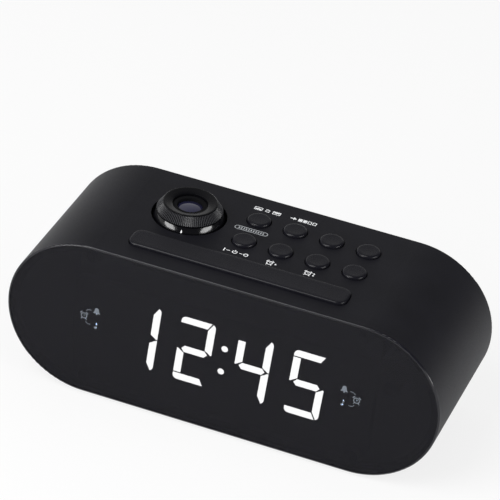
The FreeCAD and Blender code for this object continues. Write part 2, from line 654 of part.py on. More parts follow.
def build_case():
    """The sleeve, with its ledge, bosses, posts and every opening in it."""
    half_height = "(Sizes.case_height / 2)"
    body = new_body("case_sleeve", z=MIDDLE_Z)

    sketch = facing(body)
    stadium(sketch, "Sizes.case_width", "Sizes.case_height")
    stadium(sketch, INNER_WIDTH, INNER_HEIGHT)
    pad(body, sketch, "Sizes.case_depth", both=True)
    top, end = value(half_height), value("Sizes.case_depth / 2")

    def outer_edge(edge):
        low, high = edge.BoundBox.YMin, edge.BoundBox.YMax
        on_end = abs(abs(low) - end) < 0.01 and high - low < 0.01
        return on_end and max(abs(edge.BoundBox.ZMin), abs(edge.BoundBox.ZMax)) > top - 0.01

    round_edges(body, "Sizes.case_edge_round", outer_edge)

    # Seat of the window, with the ledge and the display's posts behind it
    sketch = facing(body, y=FRONT_Y)
    stadium(sketch, WINDOW_SEAT_WIDTH, WINDOW_SEAT_HEIGHT)
    pocket(body, sketch, "Sizes.window_recess + Sizes.window_thick")
    sketch = facing(body, y=WINDOW_BACK_Y)
    stadium(sketch, "Sizes.case_width - Sizes.case_wall", "Sizes.case_height - Sizes.case_wall")
    stadium(
        sketch,
        f"{INNER_WIDTH} - 2 * Sizes.ledge_width",
        f"{INNER_HEIGHT} - 2 * Sizes.ledge_width",
    )
    pad(body, sketch, "Sizes.ledge_thick", flip=True)
    sketch = facing(body, y=WINDOW_BACK_Y)
    for x, z in frame_places():
        circle(sketch, "Sizes.boss_radius", x, z)
    pad(body, sketch, "Sizes.ledge_thick + Sizes.frame_post_length", flip=True)
    sketch = facing(body, y=COVER_INSIDE_Y)
    for x, z in frame_places():
        circle(sketch, "Sizes.boss_radius", x, z)
    pad(body, sketch, "Sizes.boss_length")

    # Posts under the deck for the key board and for the projector's socket
    sketch = level(body, z=f"{half_height} - Sizes.case_wall / 2")
    for x, y in key_post_places():
        circle(sketch, "Sizes.post_radius", x, y)
    pad(body, sketch, "Sizes.key_post_length + Sizes.case_wall / 2", flip=True)
    sketch = level(
        body, PROJECTOR_X, "Sizes.projector_y", f"{half_height} - Sizes.case_wall / 2"
    )
    for x, y in ear_places():
        circle(sketch, "Sizes.post_radius", x, y)
    pad(body, sketch, "Sizes.ear_post_length + Sizes.case_wall / 2", flip=True)

    # Posts on the floor for the main board
    sketch = level(body, z=f"Sizes.case_wall / 2 - {half_height}")
    for x, y in main_post_places():
        circle(sketch, "Sizes.post_radius", x, y)
    pad(body, sketch, "Sizes.main_post_length + Sizes.case_wall / 2")

    # Openings in the deck
    through = "Sizes.case_wall + Sizes.stop_gap"
    sketch = level(body, "Sizes.snooze_x", SNOOZE_Y, half_height)
    rounded_rectangle(
        sketch,
        "Sizes.snooze_length + 2 * Sizes.key_gap",
        f"{SNOOZE_WIDTH} + 2 * Sizes.key_gap",
        "Sizes.snooze_corner + Sizes.key_gap",
    )
    pocket(body, sketch, through)
    sketch = level(body, z=half_height)
    for _, x, y in key_places():
        circle(sketch, "Sizes.key_radius + Sizes.key_gap", x, y)
    circle(sketch, "Sizes.deck_hole_radius", PROJECTOR_X, "Sizes.projector_y")
    pocket(body, sketch, through)

    # Pilot holes
    sketch = facing(body, y=f"{PLATE_FRONT_Y}")
    for x, z in frame_places():
        circle(sketch, SMALL_PILOT_RADIUS, x, z)
    bite = "Sizes.small_screw_length - Sizes.frame_plate_thick + Sizes.stop_gap"
    pocket(body, sketch, bite, flip=True)
    sketch = facing(body, y=COVER_INSIDE_Y)
    for x, z in frame_places():
        circle(sketch, PILOT_RADIUS, x, z)
    pocket(body, sketch, "Sizes.screw_length", flip=True)
    sketch = level(body, z=f"{KEY_BOARD_Z} - {MIDDLE_Z}")
    for x, y in key_post_places():
        circle(sketch, SMALL_PILOT_RADIUS, x, y)
    pocket(body, sketch, "Sizes.small_screw_length", flip=True)
    sketch = level(
        body,
        PROJECTOR_X,
        "Sizes.projector_y",
        f"{DECK_Z} - Sizes.ear_post_length - {MIDDLE_Z}",
    )
    for x, y in ear_places():
        circle(sketch, SMALL_PILOT_RADIUS, x, y)
    pocket(body, sketch, "Sizes.small_screw_length", flip=True)
    sketch = level(body, z=f"{MAIN_BOARD_Z} - {MIDDLE_Z}")
    for x, y in main_post_places():
        circle(sketch, SMALL_PILOT_RADIUS, x, y)
    pocket(body, sketch, "Sizes.small_screw_length")

    # Battery door opening with the notches its tabs leave through, and the foot seats
    sketch = level(body, "Sizes.cell_x", "Sizes.cell_y", f"-{half_height}")
    circle(sketch, "Sizes.door_radius + Sizes.door_gap")
    pocket(body, sketch, "Sizes.case_wall + Sizes.stop_gap", flip=True)
    sketch = level(body, "Sizes.cell_x", "Sizes.cell_y", f"-{half_height}")
    notch = "(Sizes.door_tab_width / 2 + Sizes.door_gap)"
    reach = "(Sizes.door_radius + Sizes.door_tab_reach + Sizes.door_gap)"
    rectangle(sketch, f"-{notch}", notch, f"-{reach}", reach)
    pocket(body, sketch, "Sizes.case_wall + Sizes.stop_gap", flip=True)
    sketch = level(body, z=f"-{half_height}")
    for x, y in foot_places():
        circle(sketch, "Sizes.foot_radius + Sizes.screw_gap", x, y)
    pocket(body, sketch, "Sizes.foot_sink", flip=True)
    keep(body, "case_sleeve")

    foot_length = "Sizes.foot_height + Sizes.foot_sink"
    feet = [rod("foot", "Sizes.foot_radius", foot_length, x, y) for x, y in foot_places()]
    keep(joined("rubber_feet", feet), "rubber_feet")


# Display


def round_corner(x, z, radius, start, stop):
    """Points round a corner's centre, from one angle to another."""
    steps = 4
    turns = [math.radians(start + (stop - start) * step / steps) for step in range(steps + 1)]
    return [(x + radius * math.cos(turn), z + radius * math.sin(turn)) for turn in turns]


def segment_corners(name):
    """Corners of one segment of a digit, from the digit's centre."""
    wide, high = value("Sizes.digit_width / 2"), value("Sizes.digit_height / 2")
    stroke, gap = value("Sizes.digit_stroke"), value("Sizes.segment_gap")
    bend, mitre = value("Sizes.digit_round"), value("Sizes.segment_mitre")
    if name in "ad":
        # Runs the full width on the left, and meets the right segments in a mitre
        corners = [
            (-wide, high - stroke),
            *round_corner(-wide + bend, high - bend, bend, 180, 90),
            (wide - mitre - gap / 2, high),
            (wide - stroke - gap / 2, high - stroke),
        ]
    elif name == "g":
        tip, shoulder, half = wide - stroke / 2 - gap / 2, wide - stroke, stroke / 2
        corners = [
            (tip, 0),
            (shoulder, -half),
            (-shoulder, -half),
            (-tip, 0),
            (-shoulder, half),
            (shoulder, half),
        ]
    elif name in "ef":
        corners = [
            (-wide, gap / 2),
            (-wide, high - stroke - gap),
            (-wide + stroke, high - stroke - gap),
            (-wide + stroke, stroke / 2 + gap),
            (-wide + gap, gap / 2),
        ]
    else:
        corners = [
            (wide, gap / 2),
            *round_corner(wide - bend, high - bend, bend, 0, value("Sizes.tip_turn")),
            (wide - stroke, high - stroke - gap),
            (wide - stroke, stroke / 2 + gap),
            (wide - gap, gap / 2),
        ]
    mirror_z = -1 if name in "cde" else 1
    lean = value("Sizes.digit_lean")
    return [(x + lean * mirror_z * z, mirror_z * z) for x, z in corners]


def digit_centres():
    """x of the four digits."""
    middle, half_space = value("Sizes.digits_x"), value("Sizes.colon_space / 2")
    pitch = value("Sizes.digit_pitch")
    offsets = [-half_space - pitch, -half_space, half_space, half_space + pitch]
    return [middle + offset for offset in offsets]


def prism(corners, x, z, front, depth):
    """Solid that stands behind an outline on the display."""
    points = [Vector(x + dx, front, z + dz) for dx, dz in corners]
    return Part.Face(Part.makePolygon(points + points[:1])).extrude(Vector(0, depth, 0))


def segment_solids(wanted):
    """Every segment that a test picks, and the colon with the lit ones."""
    front, depth = value(LIGHT_FACE_Y), value(LIGHT_DEPTH)
    middle = value(f"{MIDDLE_Z} - Sizes.digits_drop")
    solids = []
    for x, lit in zip(digit_centres(), LIT_DIGITS):
        for name in ALL_SEGMENTS:
            if wanted(name in lit):
                solids.append(prism(segment_corners(name), x, middle, front, depth))
    if wanted(True):
        rise, radius = value("Sizes.colon_rise"), value("Sizes.colon_radius")
        for side in (-1, 1):
            lean = side * rise * value("Sizes.digit_lean")
            spot = Vector(value("Sizes.digits_x") + lean, front, middle + side * rise)
            solids.append(Part.makeCylinder(radius, depth, spot, Vector(0, 1, 0)))
    return Part.makeCompound(solids)


def computed(label, shape):
    """Sub-part whose shape is worked out from the sheet."""
    thing = doc.addObject("Part::Feature", label)
    thing.Shape = shape
    return thing


def build_display():
    """Window, light box with its segments, and the board behind them."""
    body = new_body("front_window", z=MIDDLE_Z)
    sketch = facing(body, y=WINDOW_BACK_Y)
    stadium(
        sketch,
        f"{WINDOW_SEAT_WIDTH} - 2 * Sizes.trim_gap",
        f"{WINDOW_SEAT_HEIGHT} - 2 * Sizes.trim_gap",
    )
    pad(body, sketch, "Sizes.window_thick")
    keep(body, "front_window")

    body = new_body("display_frame_shell", z=MIDDLE_Z)
    sketch = facing(body, y=PLATE_BACK_Y)
    rounded_rectangle(
        sketch,
        f"2 * ({BOSS_X} + Sizes.frame_plate_side)",
        f"2 * ({BOSS_RISE} + Sizes.small_head_radius)",
        "Sizes.frame_corner",
    )
    pad(body, sketch, "Sizes.frame_plate_thick")
    sketch = facing(body, y=PLATE_FRONT_Y)
    rounded_rectangle(
        sketch, "Sizes.light_box_width", "Sizes.light_box_height", "Sizes.light_box_corner"
    )
    pad(body, sketch, f"{PLATE_FRONT_Y} - {LIGHT_FACE_Y}")
    sketch = facing(body, y=PLATE_FRONT_Y)
    for x, z in frame_places():
        circle(sketch, SMALL_PILOT_RADIUS, x, z)
    pocket(body, sketch, "Sizes.frame_plate_thick")
    doc.recompute()

    lit = computed("lit_segments", segment_solids(lambda is_lit: is_lit))
    unlit = computed("unlit_segments", segment_solids(lambda is_lit: not is_lit))
    guides = []
    for x, z in INDICATORS:
        guides.append(
            rod(
                "light_guide",
                "Sizes.guide_radius",
                LIGHT_DEPTH,
                str(x),
                LIGHT_FACE_Y,
                f"{MIDDLE_Z} + ({z})",
                axis="Y",
            )
        )
    guides = joined("indicator_guides", guides)
    cavities = joined("light_cavities", [lit, unlit, guides])
    keep(less("display_frame", body, cavities), "display_frame")
    keep(lit, "lit_segments")
    keep(unlit, "unlit_segments")
    keep(guides, "indicator_guides")

    places = [(x, PLATE_BACK_Y, f"{MIDDLE_Z} + {z}") for x, z in frame_places()]
    screws("display_frame_screws", places, "Y", "small", -1)

    body = new_body("display_board", z=MIDDLE_Z)
    sketch = facing(body, y=PLATE_BACK_Y)
    rounded_rectangle(
        sketch, "Sizes.display_board_width", "Sizes.display_board_height", "Sizes.board_thick"
    )
    pad(body, sketch, "Sizes.board_thick", flip=True)
    keep(body, "display_board")


# Back of the clock


def build_rear():
    """Rear cover with its slots, the speaker behind it and the aerial gland."""
    body = new_body("rear_cover", z=MIDDLE_Z)
    sketch = facing(body, y=COVER_INSIDE_Y)
    stadium(
        sketch,
        f"{INNER_WIDTH} - 2 * Sizes.trim_gap",
        f"{INNER_HEIGHT} - 2 * Sizes.trim_gap",
    )
    pad(body, sketch, "Sizes.cover_thick", flip=True)
    speaker_rise = "(-Sizes.speaker_drop)"
    sketch = facing(body, "Sizes.speaker_x", f"{COVER_INSIDE_Y} + Sizes.stop_gap", speaker_rise)
    inner = "(Sizes.speaker_radius + Sizes.cell_gap)"
    circle(sketch, f"{inner} + Sizes.speaker_fence")
    circle(sketch, inner)
    pad(body, sketch, "Sizes.speaker_fence_height + Sizes.stop_gap")

    sketch = facing(body, "Sizes.speaker_x", COVER_FACE_Y, speaker_rise)
    reach = int(value("Sizes.grille_radius / Sizes.slot_pitch"))
    for column in range(-reach, reach + 1):
        x = f"({column} * Sizes.slot_pitch)"
        half = f"sqrt(Sizes.grille_radius ^ 2 - {x} ^ 2)"
        low, high = f"({x} - Sizes.slot_width / 2)", f"({x} + Sizes.slot_width / 2)"
        rectangle(sketch, low, high, f"-{half}", half)
    pocket(body, sketch, "Sizes.cover_thick", flip=True)

    sketch = facing(body, y=COVER_FACE_Y)
    for x, z in frame_places():
        circle(sketch, PILOT_RADIUS, x, z)
    circle(
        sketch, "Sizes.jack_nose_radius + Sizes.door_gap", "Sizes.jack_x", f"{JACK_Z} - {MIDDLE_Z}"
    )
    circle(sketch, "Sizes.gland_radius", "Sizes.gland_x", "(-Sizes.gland_drop)")
    pocket(body, sketch, "Sizes.cover_thick", flip=True)
    sketch = facing(body, y=COVER_FACE_Y)
    for x, z in frame_places():
        circle(sketch, "Sizes.screw_head_radius + Sizes.door_gap", x, z)
    pocket(body, sketch, "Sizes.screw_head_height", flip=True)
    keep(body, "rear_cover")

    seat = f"({COVER_FACE_Y} - Sizes.screw_head_height)"
    places = [(x, seat, f"{MIDDLE_Z} + {z}") for x, z in frame_places()]
    screws("rear_cover_screws", places, "Y", "screw", -1)

    # Speaker, turned about an axis that points out of the back
    back = FreeCAD.Rotation(Vector(1, 0, 0), -90)
    base = f"{COVER_INSIDE_Y} - Sizes.speaker_depth"
    rim, neck = "Sizes.speaker_radius", "(Sizes.magnet_radius + Sizes.speaker_rim)"
    mouth = "(Sizes.speaker_radius - Sizes.speaker_rim)"
    shelf = "(Sizes.speaker_depth - Sizes.speaker_rim)"
    frame = turned(
        "speaker_frame",
        [
            ("Sizes.speaker_rim", "0"),
            (neck, "0"),
            (mouth, shelf),
            (rim, shelf),
            (rim, "Sizes.speaker_depth"),
            (mouth, "Sizes.speaker_depth"),
            ("Sizes.magnet_radius", "Sizes.speaker_rim"),
            ("Sizes.speaker_rim", "Sizes.speaker_rim"),
        ],
        "Sizes.speaker_x",
        base,
        SPEAKER_Z,
    )
    cone_foot = "(Sizes.speaker_rim + Sizes.speaker_rim)"
    cone = turned(
        "speaker_cone",
        [
            ("0", cone_foot),
            ("Sizes.magnet_radius - Sizes.speaker_rim", cone_foot),
            (f"{mouth} - Sizes.trim_gap", "Sizes.speaker_depth"),
            (f"{mouth} - Sizes.speaker_rim", "Sizes.speaker_depth"),
            ("Sizes.magnet_radius - 2 * Sizes.speaker_rim", f"{cone_foot} + Sizes.speaker_rim"),
            ("0", f"{cone_foot} + Sizes.speaker_rim"),
        ],
        "Sizes.speaker_x",
        base,
        SPEAKER_Z,
    )
    for piece in (frame, cone):
        piece.Placement.Rotation = back
        keep(piece, piece.Name)
    magnet = rod(
        "speaker_magnet",
        "Sizes.magnet_radius",
        "Sizes.magnet_length",
        "Sizes.speaker_x",
        f"{base} - Sizes.magnet_length",
        SPEAKER_Z,
        axis="Y",
    )
    keep(magnet, "speaker_magnet")

    gland = turned(
        "aerial_gland",
        [
            ("Sizes.gland_bore", "0"),
            ("Sizes.gland_radius", "0"),
            ("Sizes.gland_radius", "Sizes.cover_thick"),
            ("Sizes.gland_radius + Sizes.gland_flange", "Sizes.cover_thick"),
            ("Sizes.gland_radius", "Sizes.cover_thick + Sizes.gland_lip"),
            ("Sizes.gland_bore", "Sizes.cover_thick + Sizes.gland_lip"),
        ],
        "Sizes.gland_x",
        COVER_INSIDE_Y,
        GLAND_Z,
    )
    gland.Placement.Rotation = back
    keep(gland, "aerial_gland")


# Power


def build_power():
    """Main board, jack, backup cell and the door below it."""
    board_top = f"({MAIN_BOARD_Z} + Sizes.board_thick)"
    board = box(
        "main_board_blank",
        f"-{BOARD_REACH}",
        BOARD_REACH,
        BOARD_FRONT_Y,
        BOARD_BACK_Y,
        MAIN_BOARD_Z,
        board_top,
    )
    holes = [
        rod("board_hole", SMALL_PILOT_RADIUS, "Sizes.board_thick", x, y, MAIN_BOARD_Z)
        for x, y in main_post_places()
    ]
    keep(less("main_board", board, joined("main_board_holes", holes)), "main_board")
    screws(
        "main_board_screws", [(x, y, board_top) for x, y in main_post_places()], "Z", "small", -1
    )

    chip = box(
        "clock_chip",
        "Sizes.chip_x - Sizes.chip_side / 2",
        "Sizes.chip_x + Sizes.chip_side / 2",
        "Sizes.chip_y - Sizes.chip_side / 2",
        "Sizes.chip_y + Sizes.chip_side / 2",
        board_top,
        f"{board_top} + Sizes.board_thick",
    )
    keep(chip, "clock_chip")
    cans = [
        rod("can", "Sizes.can_radius", "Sizes.can_height", x, "Sizes.can_y", board_top)
        for x in ("0", "Sizes.can_pitch")
    ]
    keep(joined("capacitors", cans), "capacitors")

    # Power jack: block, round nose, bore and centre pin
    jack_back = f"({COVER_INSIDE_Y} - Sizes.stop_gap)"
    block = box(
        "jack_block",
        "Sizes.jack_x - Sizes.jack_width / 2",
        "Sizes.jack_x + Sizes.jack_width / 2",
        f"{jack_back} - Sizes.jack_length",
        jack_back,
        board_top,
        f"{board_top} + Sizes.jack_height",
    )
    nose_length = f"({COVER_FACE_Y} - {jack_back})"
    nose = rod(
        "jack_nose",
        "Sizes.jack_nose_radius",
        nose_length,
        "Sizes.jack_x",
        jack_back,
        JACK_Z,
        axis="Y",
    )
    floor = f"({COVER_FACE_Y} - Sizes.jack_bore_depth)"
    bore = rod(
        "jack_bore",
        "Sizes.jack_bore_radius",
        "Sizes.jack_bore_depth",
        "Sizes.jack_x",
        floor,
        JACK_Z,
        axis="Y",
    )
    centre = rod(
        "jack_pin",
        "Sizes.jack_pin_radius",
        "Sizes.jack_pin_length",
        "Sizes.jack_x",
        floor,
        JACK_Z,
        axis="Y",
    )
    hollow = less("jack_body", joined("jack_solid", [block, nose]), bore)
    keep(joined("power_jack", [hollow, centre]), "power_jack")

    # Backup cell in its holder under the main board
    tab_top = f"({FLOOR_Z} + Sizes.stop_gap + Sizes.door_tab_thick)"
    cell_z = f"({tab_top} + Sizes.door_gap)"
    holder_outer = "(Sizes.cell_radius + Sizes.cell_gap + Sizes.holder_wall)"
    holder = turned(
        "cell_holder",
        [
            ("Sizes.cell_radius + Sizes.cell_gap", "0"),
            (holder_outer, "0"),
            (holder_outer, f"{MAIN_BOARD_Z} - {cell_z}"),
            ("0", f"{MAIN_BOARD_Z} - {cell_z}"),
            ("0", "Sizes.cell_height"),
            ("Sizes.cell_radius + Sizes.cell_gap", "Sizes.cell_height"),
        ],
        "Sizes.cell_x",
        "Sizes.cell_y",
        cell_z,
    )
    keep(holder, "cell_holder")
    cell = rod(
        "backup_cell",
        "Sizes.cell_radius",
        "Sizes.cell_height",
        "Sizes.cell_x",
        "Sizes.cell_y",
        cell_z,
    )
    keep(cell, "backup_cell")

    # Door: a disc with two tabs over the floor and a coin slot below
    face = "(Sizes.foot_height + Sizes.door_recess)"
    disc = rod(
        "door_disc",
        "Sizes.door_radius",
        f"{tab_top} - {face}",
        "Sizes.cell_x",
        "Sizes.cell_y",
        face,
    )
    tab_reach = "(Sizes.door_radius + Sizes.door_tab_reach)"
    tabs = box(
        "door_tabs",
        f"Sizes.cell_x - {tab_reach}",
        f"Sizes.cell_x + {tab_reach}",
        "Sizes.cell_y - Sizes.door_tab_width / 2",
        "Sizes.cell_y + Sizes.door_tab_width / 2",
        f"{FLOOR_Z} + Sizes.stop_gap",
        tab_top,
    )
    slot = box(
        "door_slot",
        "Sizes.cell_x - Sizes.door_slot_length / 2",
        "Sizes.cell_x + Sizes.door_slot_length / 2",
        "Sizes.cell_y - Sizes.door_slot_width / 2",
        "Sizes.cell_y + Sizes.door_slot_width / 2",
        face,
        f"{face} + Sizes.door_slot_depth",
    )
    keep(less("battery_door", joined("door_solid", [disc, tabs]), slot), "battery_door")


# Keys


def build_keys():
    """Round buttons, snooze bar, their switches and the board that carries them."""
    cap_height = f"({KEY_TOP_Z} - {PLUNGER_TOP_Z})"
    flange_low = f"({FLANGE_UNDER_Z} - {PLUNGER_TOP_Z})"
    flange_high = f"({FLANGE_TOP_Z} - {PLUNGER_TOP_Z})"
    flange_reach = "(Sizes.key_radius + Sizes.key_gap + Sizes.key_flange)"
    plunger_length = "Sizes.plunger_rise + Sizes.plunger_sink"
    plunger_foot = f"{SWITCH_TOP_Z} - Sizes.plunger_sink"
    for name, x, y in key_places():
        body = turned(
            name,
            [
                ("0", "0"),
                ("Sizes.key_stem_radius", "0"),
                ("Sizes.key_stem_radius", flange_low),
                (flange_reach, flange_low),
                (flange_reach, flange_high),
                ("Sizes.key_radius", flange_high),
                ("Sizes.key_radius", f"{cap_height} - Sizes.key_edge"),
                ("Sizes.key_radius - Sizes.key_edge", cap_height),
                ("0", cap_height),
            ],
            x,
            y,
            PLUNGER_TOP_Z,
        )
        keep(body, name)
        label = name.replace("_button", "_plunger")
        keep(rod(label, "Sizes.plunger_radius", plunger_length, x, y, plunger_foot), label)

    body = new_body("snooze_bar", "Sizes.snooze_x", SNOOZE_Y, PLUNGER_TOP_Z)
    sketch = level(body)
    for side in ("Sizes.snooze_stem_spread", "(-Sizes.snooze_stem_spread)"):
        circle(sketch, "Sizes.key_stem_radius", side)
    pad(body, sketch, flange_high)
    sketch = level(body, z=flange_low)
    grow = "2 * (Sizes.key_gap + Sizes.key_flange)"
    rounded_rectangle(
        sketch,
        f"Sizes.snooze_length + {grow}",
        f"{SNOOZE_WIDTH} + {grow}",
        "Sizes.snooze_corner + Sizes.key_gap + Sizes.key_flange",
    )
    pad(body, sketch, "Sizes.key_flange_thick")
    sketch = level(body, z=flange_low)
    rounded_rectangle(sketch, "Sizes.snooze_length", SNOOZE_WIDTH, "Sizes.snooze_corner")
    pad(body, sketch, f"{cap_height} - {flange_low}")
    cap_top = value(cap_height)
    round_edges(body, "Sizes.key_edge", lambda edge: edge.BoundBox.ZMin > cap_top - 0.01)
    keep(body, "snooze_bar")
    plungers = [
        rod("snooze_rod", "Sizes.plunger_radius", plunger_length, x, y, plunger_foot)
        for x, y in snooze_places()
    ]
    keep(joined("snooze_plungers", plungers), "snooze_plungers")

    places = [(x, y) for _, x, y in key_places()] + list(snooze_places())
    half = "Sizes.switch_side / 2"
    blocks = []
    wells = []
    for x, y in places:
        sides = (f"{x} - {half}", f"{x} + {half}", f"{y} - {half}", f"{y} + {half}")
        blocks.append(box("switch", *sides, KEY_BOARD_Z, SWITCH_TOP_Z))
        floor = f"{SWITCH_TOP_Z} - Sizes.plunger_well"
        radius = "Sizes.plunger_radius + Sizes.plunger_gap"
        wells.append(rod("well", radius, "Sizes.plunger_well", x, y, floor))
    switches = less("key_switches", joined("switch_blocks", blocks), joined("wells", wells))
    keep(switches, "key_switches")

    # One board: a strip under the snooze bar and a field under the buttons
    low_z = f"{KEY_BOARD_Z} - Sizes.board_thick"
    strip_back = f"({SNOOZE_BACK_Y} - Sizes.key_strip_gap)"
    strip = box(
        "board_strip",
        "-Sizes.key_strip_end",
        "Sizes.key_strip_end",
        f"{PLATE_BACK_Y} + Sizes.key_strip_gap",
        strip_back,
        low_z,
        KEY_BOARD_Z,
    )
    field = box(
        "board_field",
        f"{KEY_FIRST_X} - Sizes.key_board_margin",
        "Sizes.key_strip_end",
        strip_back,
        "Sizes.key_front_y + Sizes.key_pitch_y + Sizes.key_board_back",
        low_z,
        KEY_BOARD_Z,
    )
    holes = [
        rod("key_board_hole", SMALL_PILOT_RADIUS, "Sizes.board_thick", x, y, low_z)
        for x, y in key_post_places()
    ]
    blank = joined("key_board_blank", [strip, field])
    keep(less("key_board", blank, joined("key_board_holes", holes)), "key_board")
    screws("key_board_screws", [(x, y, low_z) for x, y in key_post_places()], "Z", "small", 1)


# Projector


def build_projector():
    """Socket, swivel collar, tilting ball, focus wheel, lens and lamp."""
    at = {"x": PROJECTOR_X, "y": "Sizes.projector_y", "z": BALL_Z}
    deck = "(Sizes.ball_drop - Sizes.case_wall)"
    lip_top = "(-Sizes.collar_below - Sizes.swivel_gap)"
    lip_low = f"({lip_top} - Sizes.socket_lip_thick)"
    lip_bore = f"({SOCKET_BORE} - Sizes.socket_lip)"
    socket = turned(
        "projector_socket",
        [
            (lip_bore, lip_low),
            (SOCKET_RADIUS, lip_low),
            (SOCKET_RADIUS, deck),
            (SOCKET_BORE, deck),
            (SOCKET_BORE, lip_top),
            (lip_bore, lip_top),
        ],
        **at,
    )
    ear_top = f"({deck} - Sizes.ear_post_length)"
    sketch = level(socket, z=ear_top)
    for x, y in ear_places():
        circle(sketch, "Sizes.ear_radius", x, y)
    pad(socket, sketch, "Sizes.ear_thick", flip=True)
    sketch = level(socket, z=ear_top)
    for x, y in ear_places():
        circle(sketch, SMALL_PILOT_RADIUS, x, y)
    pocket(socket, sketch, "Sizes.ear_thick")
    sketch = level(socket, z=deck)
    circle(sketch, SOCKET_BORE)
    pocket(socket, sketch, f"{deck} - {lip_top}")
    keep(socket, "projector_socket")
    ear_low = f"{BALL_Z} + {ear_top} - Sizes.ear_thick"
    places = [
        (f"{PROJECTOR_X} + {x}", f"Sizes.projector_y + {y}", ear_low) for x, y in ear_places()
    ]
    screws("socket_screws", places, "Z", "small", 1)

    # Collar: a ring whose inside follows the ball, with a hole for each pivot
    hollow = "(Sizes.ball_radius + Sizes.ball_gap)"
    low, high = "(-Sizes.collar_below)", "Sizes.collar_above"
    collar = turned(
        "swivel_collar",
        [
            ("Sizes.collar_radius", low),
            ("Sizes.collar_radius", high),
            (f"sqrt({hollow} ^ 2 - {high} ^ 2)", high, "arc"),
            (f"sqrt({hollow} ^ 2 - {low} ^ 2)", low),
        ],
        **at,
    )
    sketch = new_sketch(collar, "YZ_Plane")
    circle(sketch, "Sizes.pivot_radius + Sizes.pivot_gap")
    pocket(collar, sketch, "3 * Sizes.collar_radius", both=True)
    keep(collar, "swivel_collar")

    # Ball: a spherical shell with a neck on top and the barrel's guide inside
    inside = "(Sizes.ball_radius - Sizes.ball_wall)"
    top, bottom = "Sizes.ball_top", "(-Sizes.ball_bottom)"
    neck_top = "(Sizes.ball_top + Sizes.neck_height)"
    guide_low = "(-Sizes.guide_bottom)"
    guide_outer = "(Sizes.guide_bore + Sizes.guide_wall)"
    ball = turned(
        "projector_ball",
        [
            (f"sqrt(Sizes.ball_radius ^ 2 - {bottom} ^ 2)", bottom, "arc"),
            (f"sqrt(Sizes.ball_radius ^ 2 - {top} ^ 2)", top),
            ("Sizes.neck_radius", top),
            ("Sizes.neck_radius", neck_top),
            ("Sizes.guide_bore", neck_top),
            ("Sizes.guide_bore", guide_low),
            (guide_outer, guide_low),
            (guide_outer, "Sizes.guide_ceiling"),
            (f"sqrt({inside} ^ 2 - Sizes.guide_ceiling ^ 2)", "Sizes.guide_ceiling", "arc"),
            (f"sqrt({inside} ^ 2 - {bottom} ^ 2)", bottom),
        ],
        **at,
    )
    pivot_root = f"({inside} + Sizes.ball_wall / 2)"
    pivot_end = "(Sizes.collar_radius - Sizes.pivot_end_gap)"
    for side in (1, -1):
        sketch = new_sketch(ball, "YZ_Plane", z=f"{side} * {pivot_root}")
        circle(sketch, "Sizes.pivot_radius")
        pad(ball, sketch, f"{pivot_end} - {pivot_root}", flip=side < 0)
    sketch = level(ball, z=neck_top)
    slot = "(Sizes.barrel_key_width / 2 + Sizes.key_slot_gap)"
    slot_reach = "(Sizes.barrel_radius + Sizes.barrel_key_reach + Sizes.key_slot_gap)"
    rectangle(sketch, f"-{slot}", slot, f"-{slot_reach}", slot_reach)
    pocket(ball, sketch, f"{neck_top} - {guide_low}")
    keep(ball, "projector_ball")

    # Bottom cap with the lamp on it, and the small display above the lamp
    plug = f"(sqrt({inside} ^ 2 - {bottom} ^ 2) - Sizes.cell_gap)"
    cap = turned(
        "projector_cap",
        [
            ("0", f"{bottom} - Sizes.cap_thick"),
            ("Sizes.cap_radius", f"{bottom} - Sizes.cap_thick"),
            ("Sizes.cap_radius", bottom),
            (plug, bottom),
            (plug, f"{bottom} + Sizes.cap_plug_height"),
            ("0", f"{bottom} + Sizes.cap_plug_height"),
        ],
        **at,
    )
    keep(cap, "projector_cap")
    lamp_low = f"({bottom} + Sizes.cap_plug_height)"
    lamp_shoulder = f"({lamp_low} + Sizes.lamp_flange)"
    lamp = turned(
        "projection_lamp",
        [
            ("0", lamp_low),
            ("Sizes.lamp_radius + Sizes.lamp_flange", lamp_low),
            ("Sizes.lamp_radius + Sizes.lamp_flange", lamp_shoulder),
            ("Sizes.lamp_radius", lamp_shoulder, "arc"),
            ("0", f"{lamp_low} + Sizes.lamp_height"),
        ],
        **at,
    )
    keep(lamp, "projection_lamp")
    film_half = "Sizes.film_side / 2"
    film = box(
        "projection_display",
        f"{PROJECTOR_X} - {film_half}",
        f"{PROJECTOR_X} + {film_half}",
        f"Sizes.projector_y - {film_half}",
        f"Sizes.projector_y + {film_half}",
        f"{BALL_Z} + {guide_low} - Sizes.film_thick",
        f"{BALL_Z} + {guide_low}",
    )
    keep(film, "projection_display")

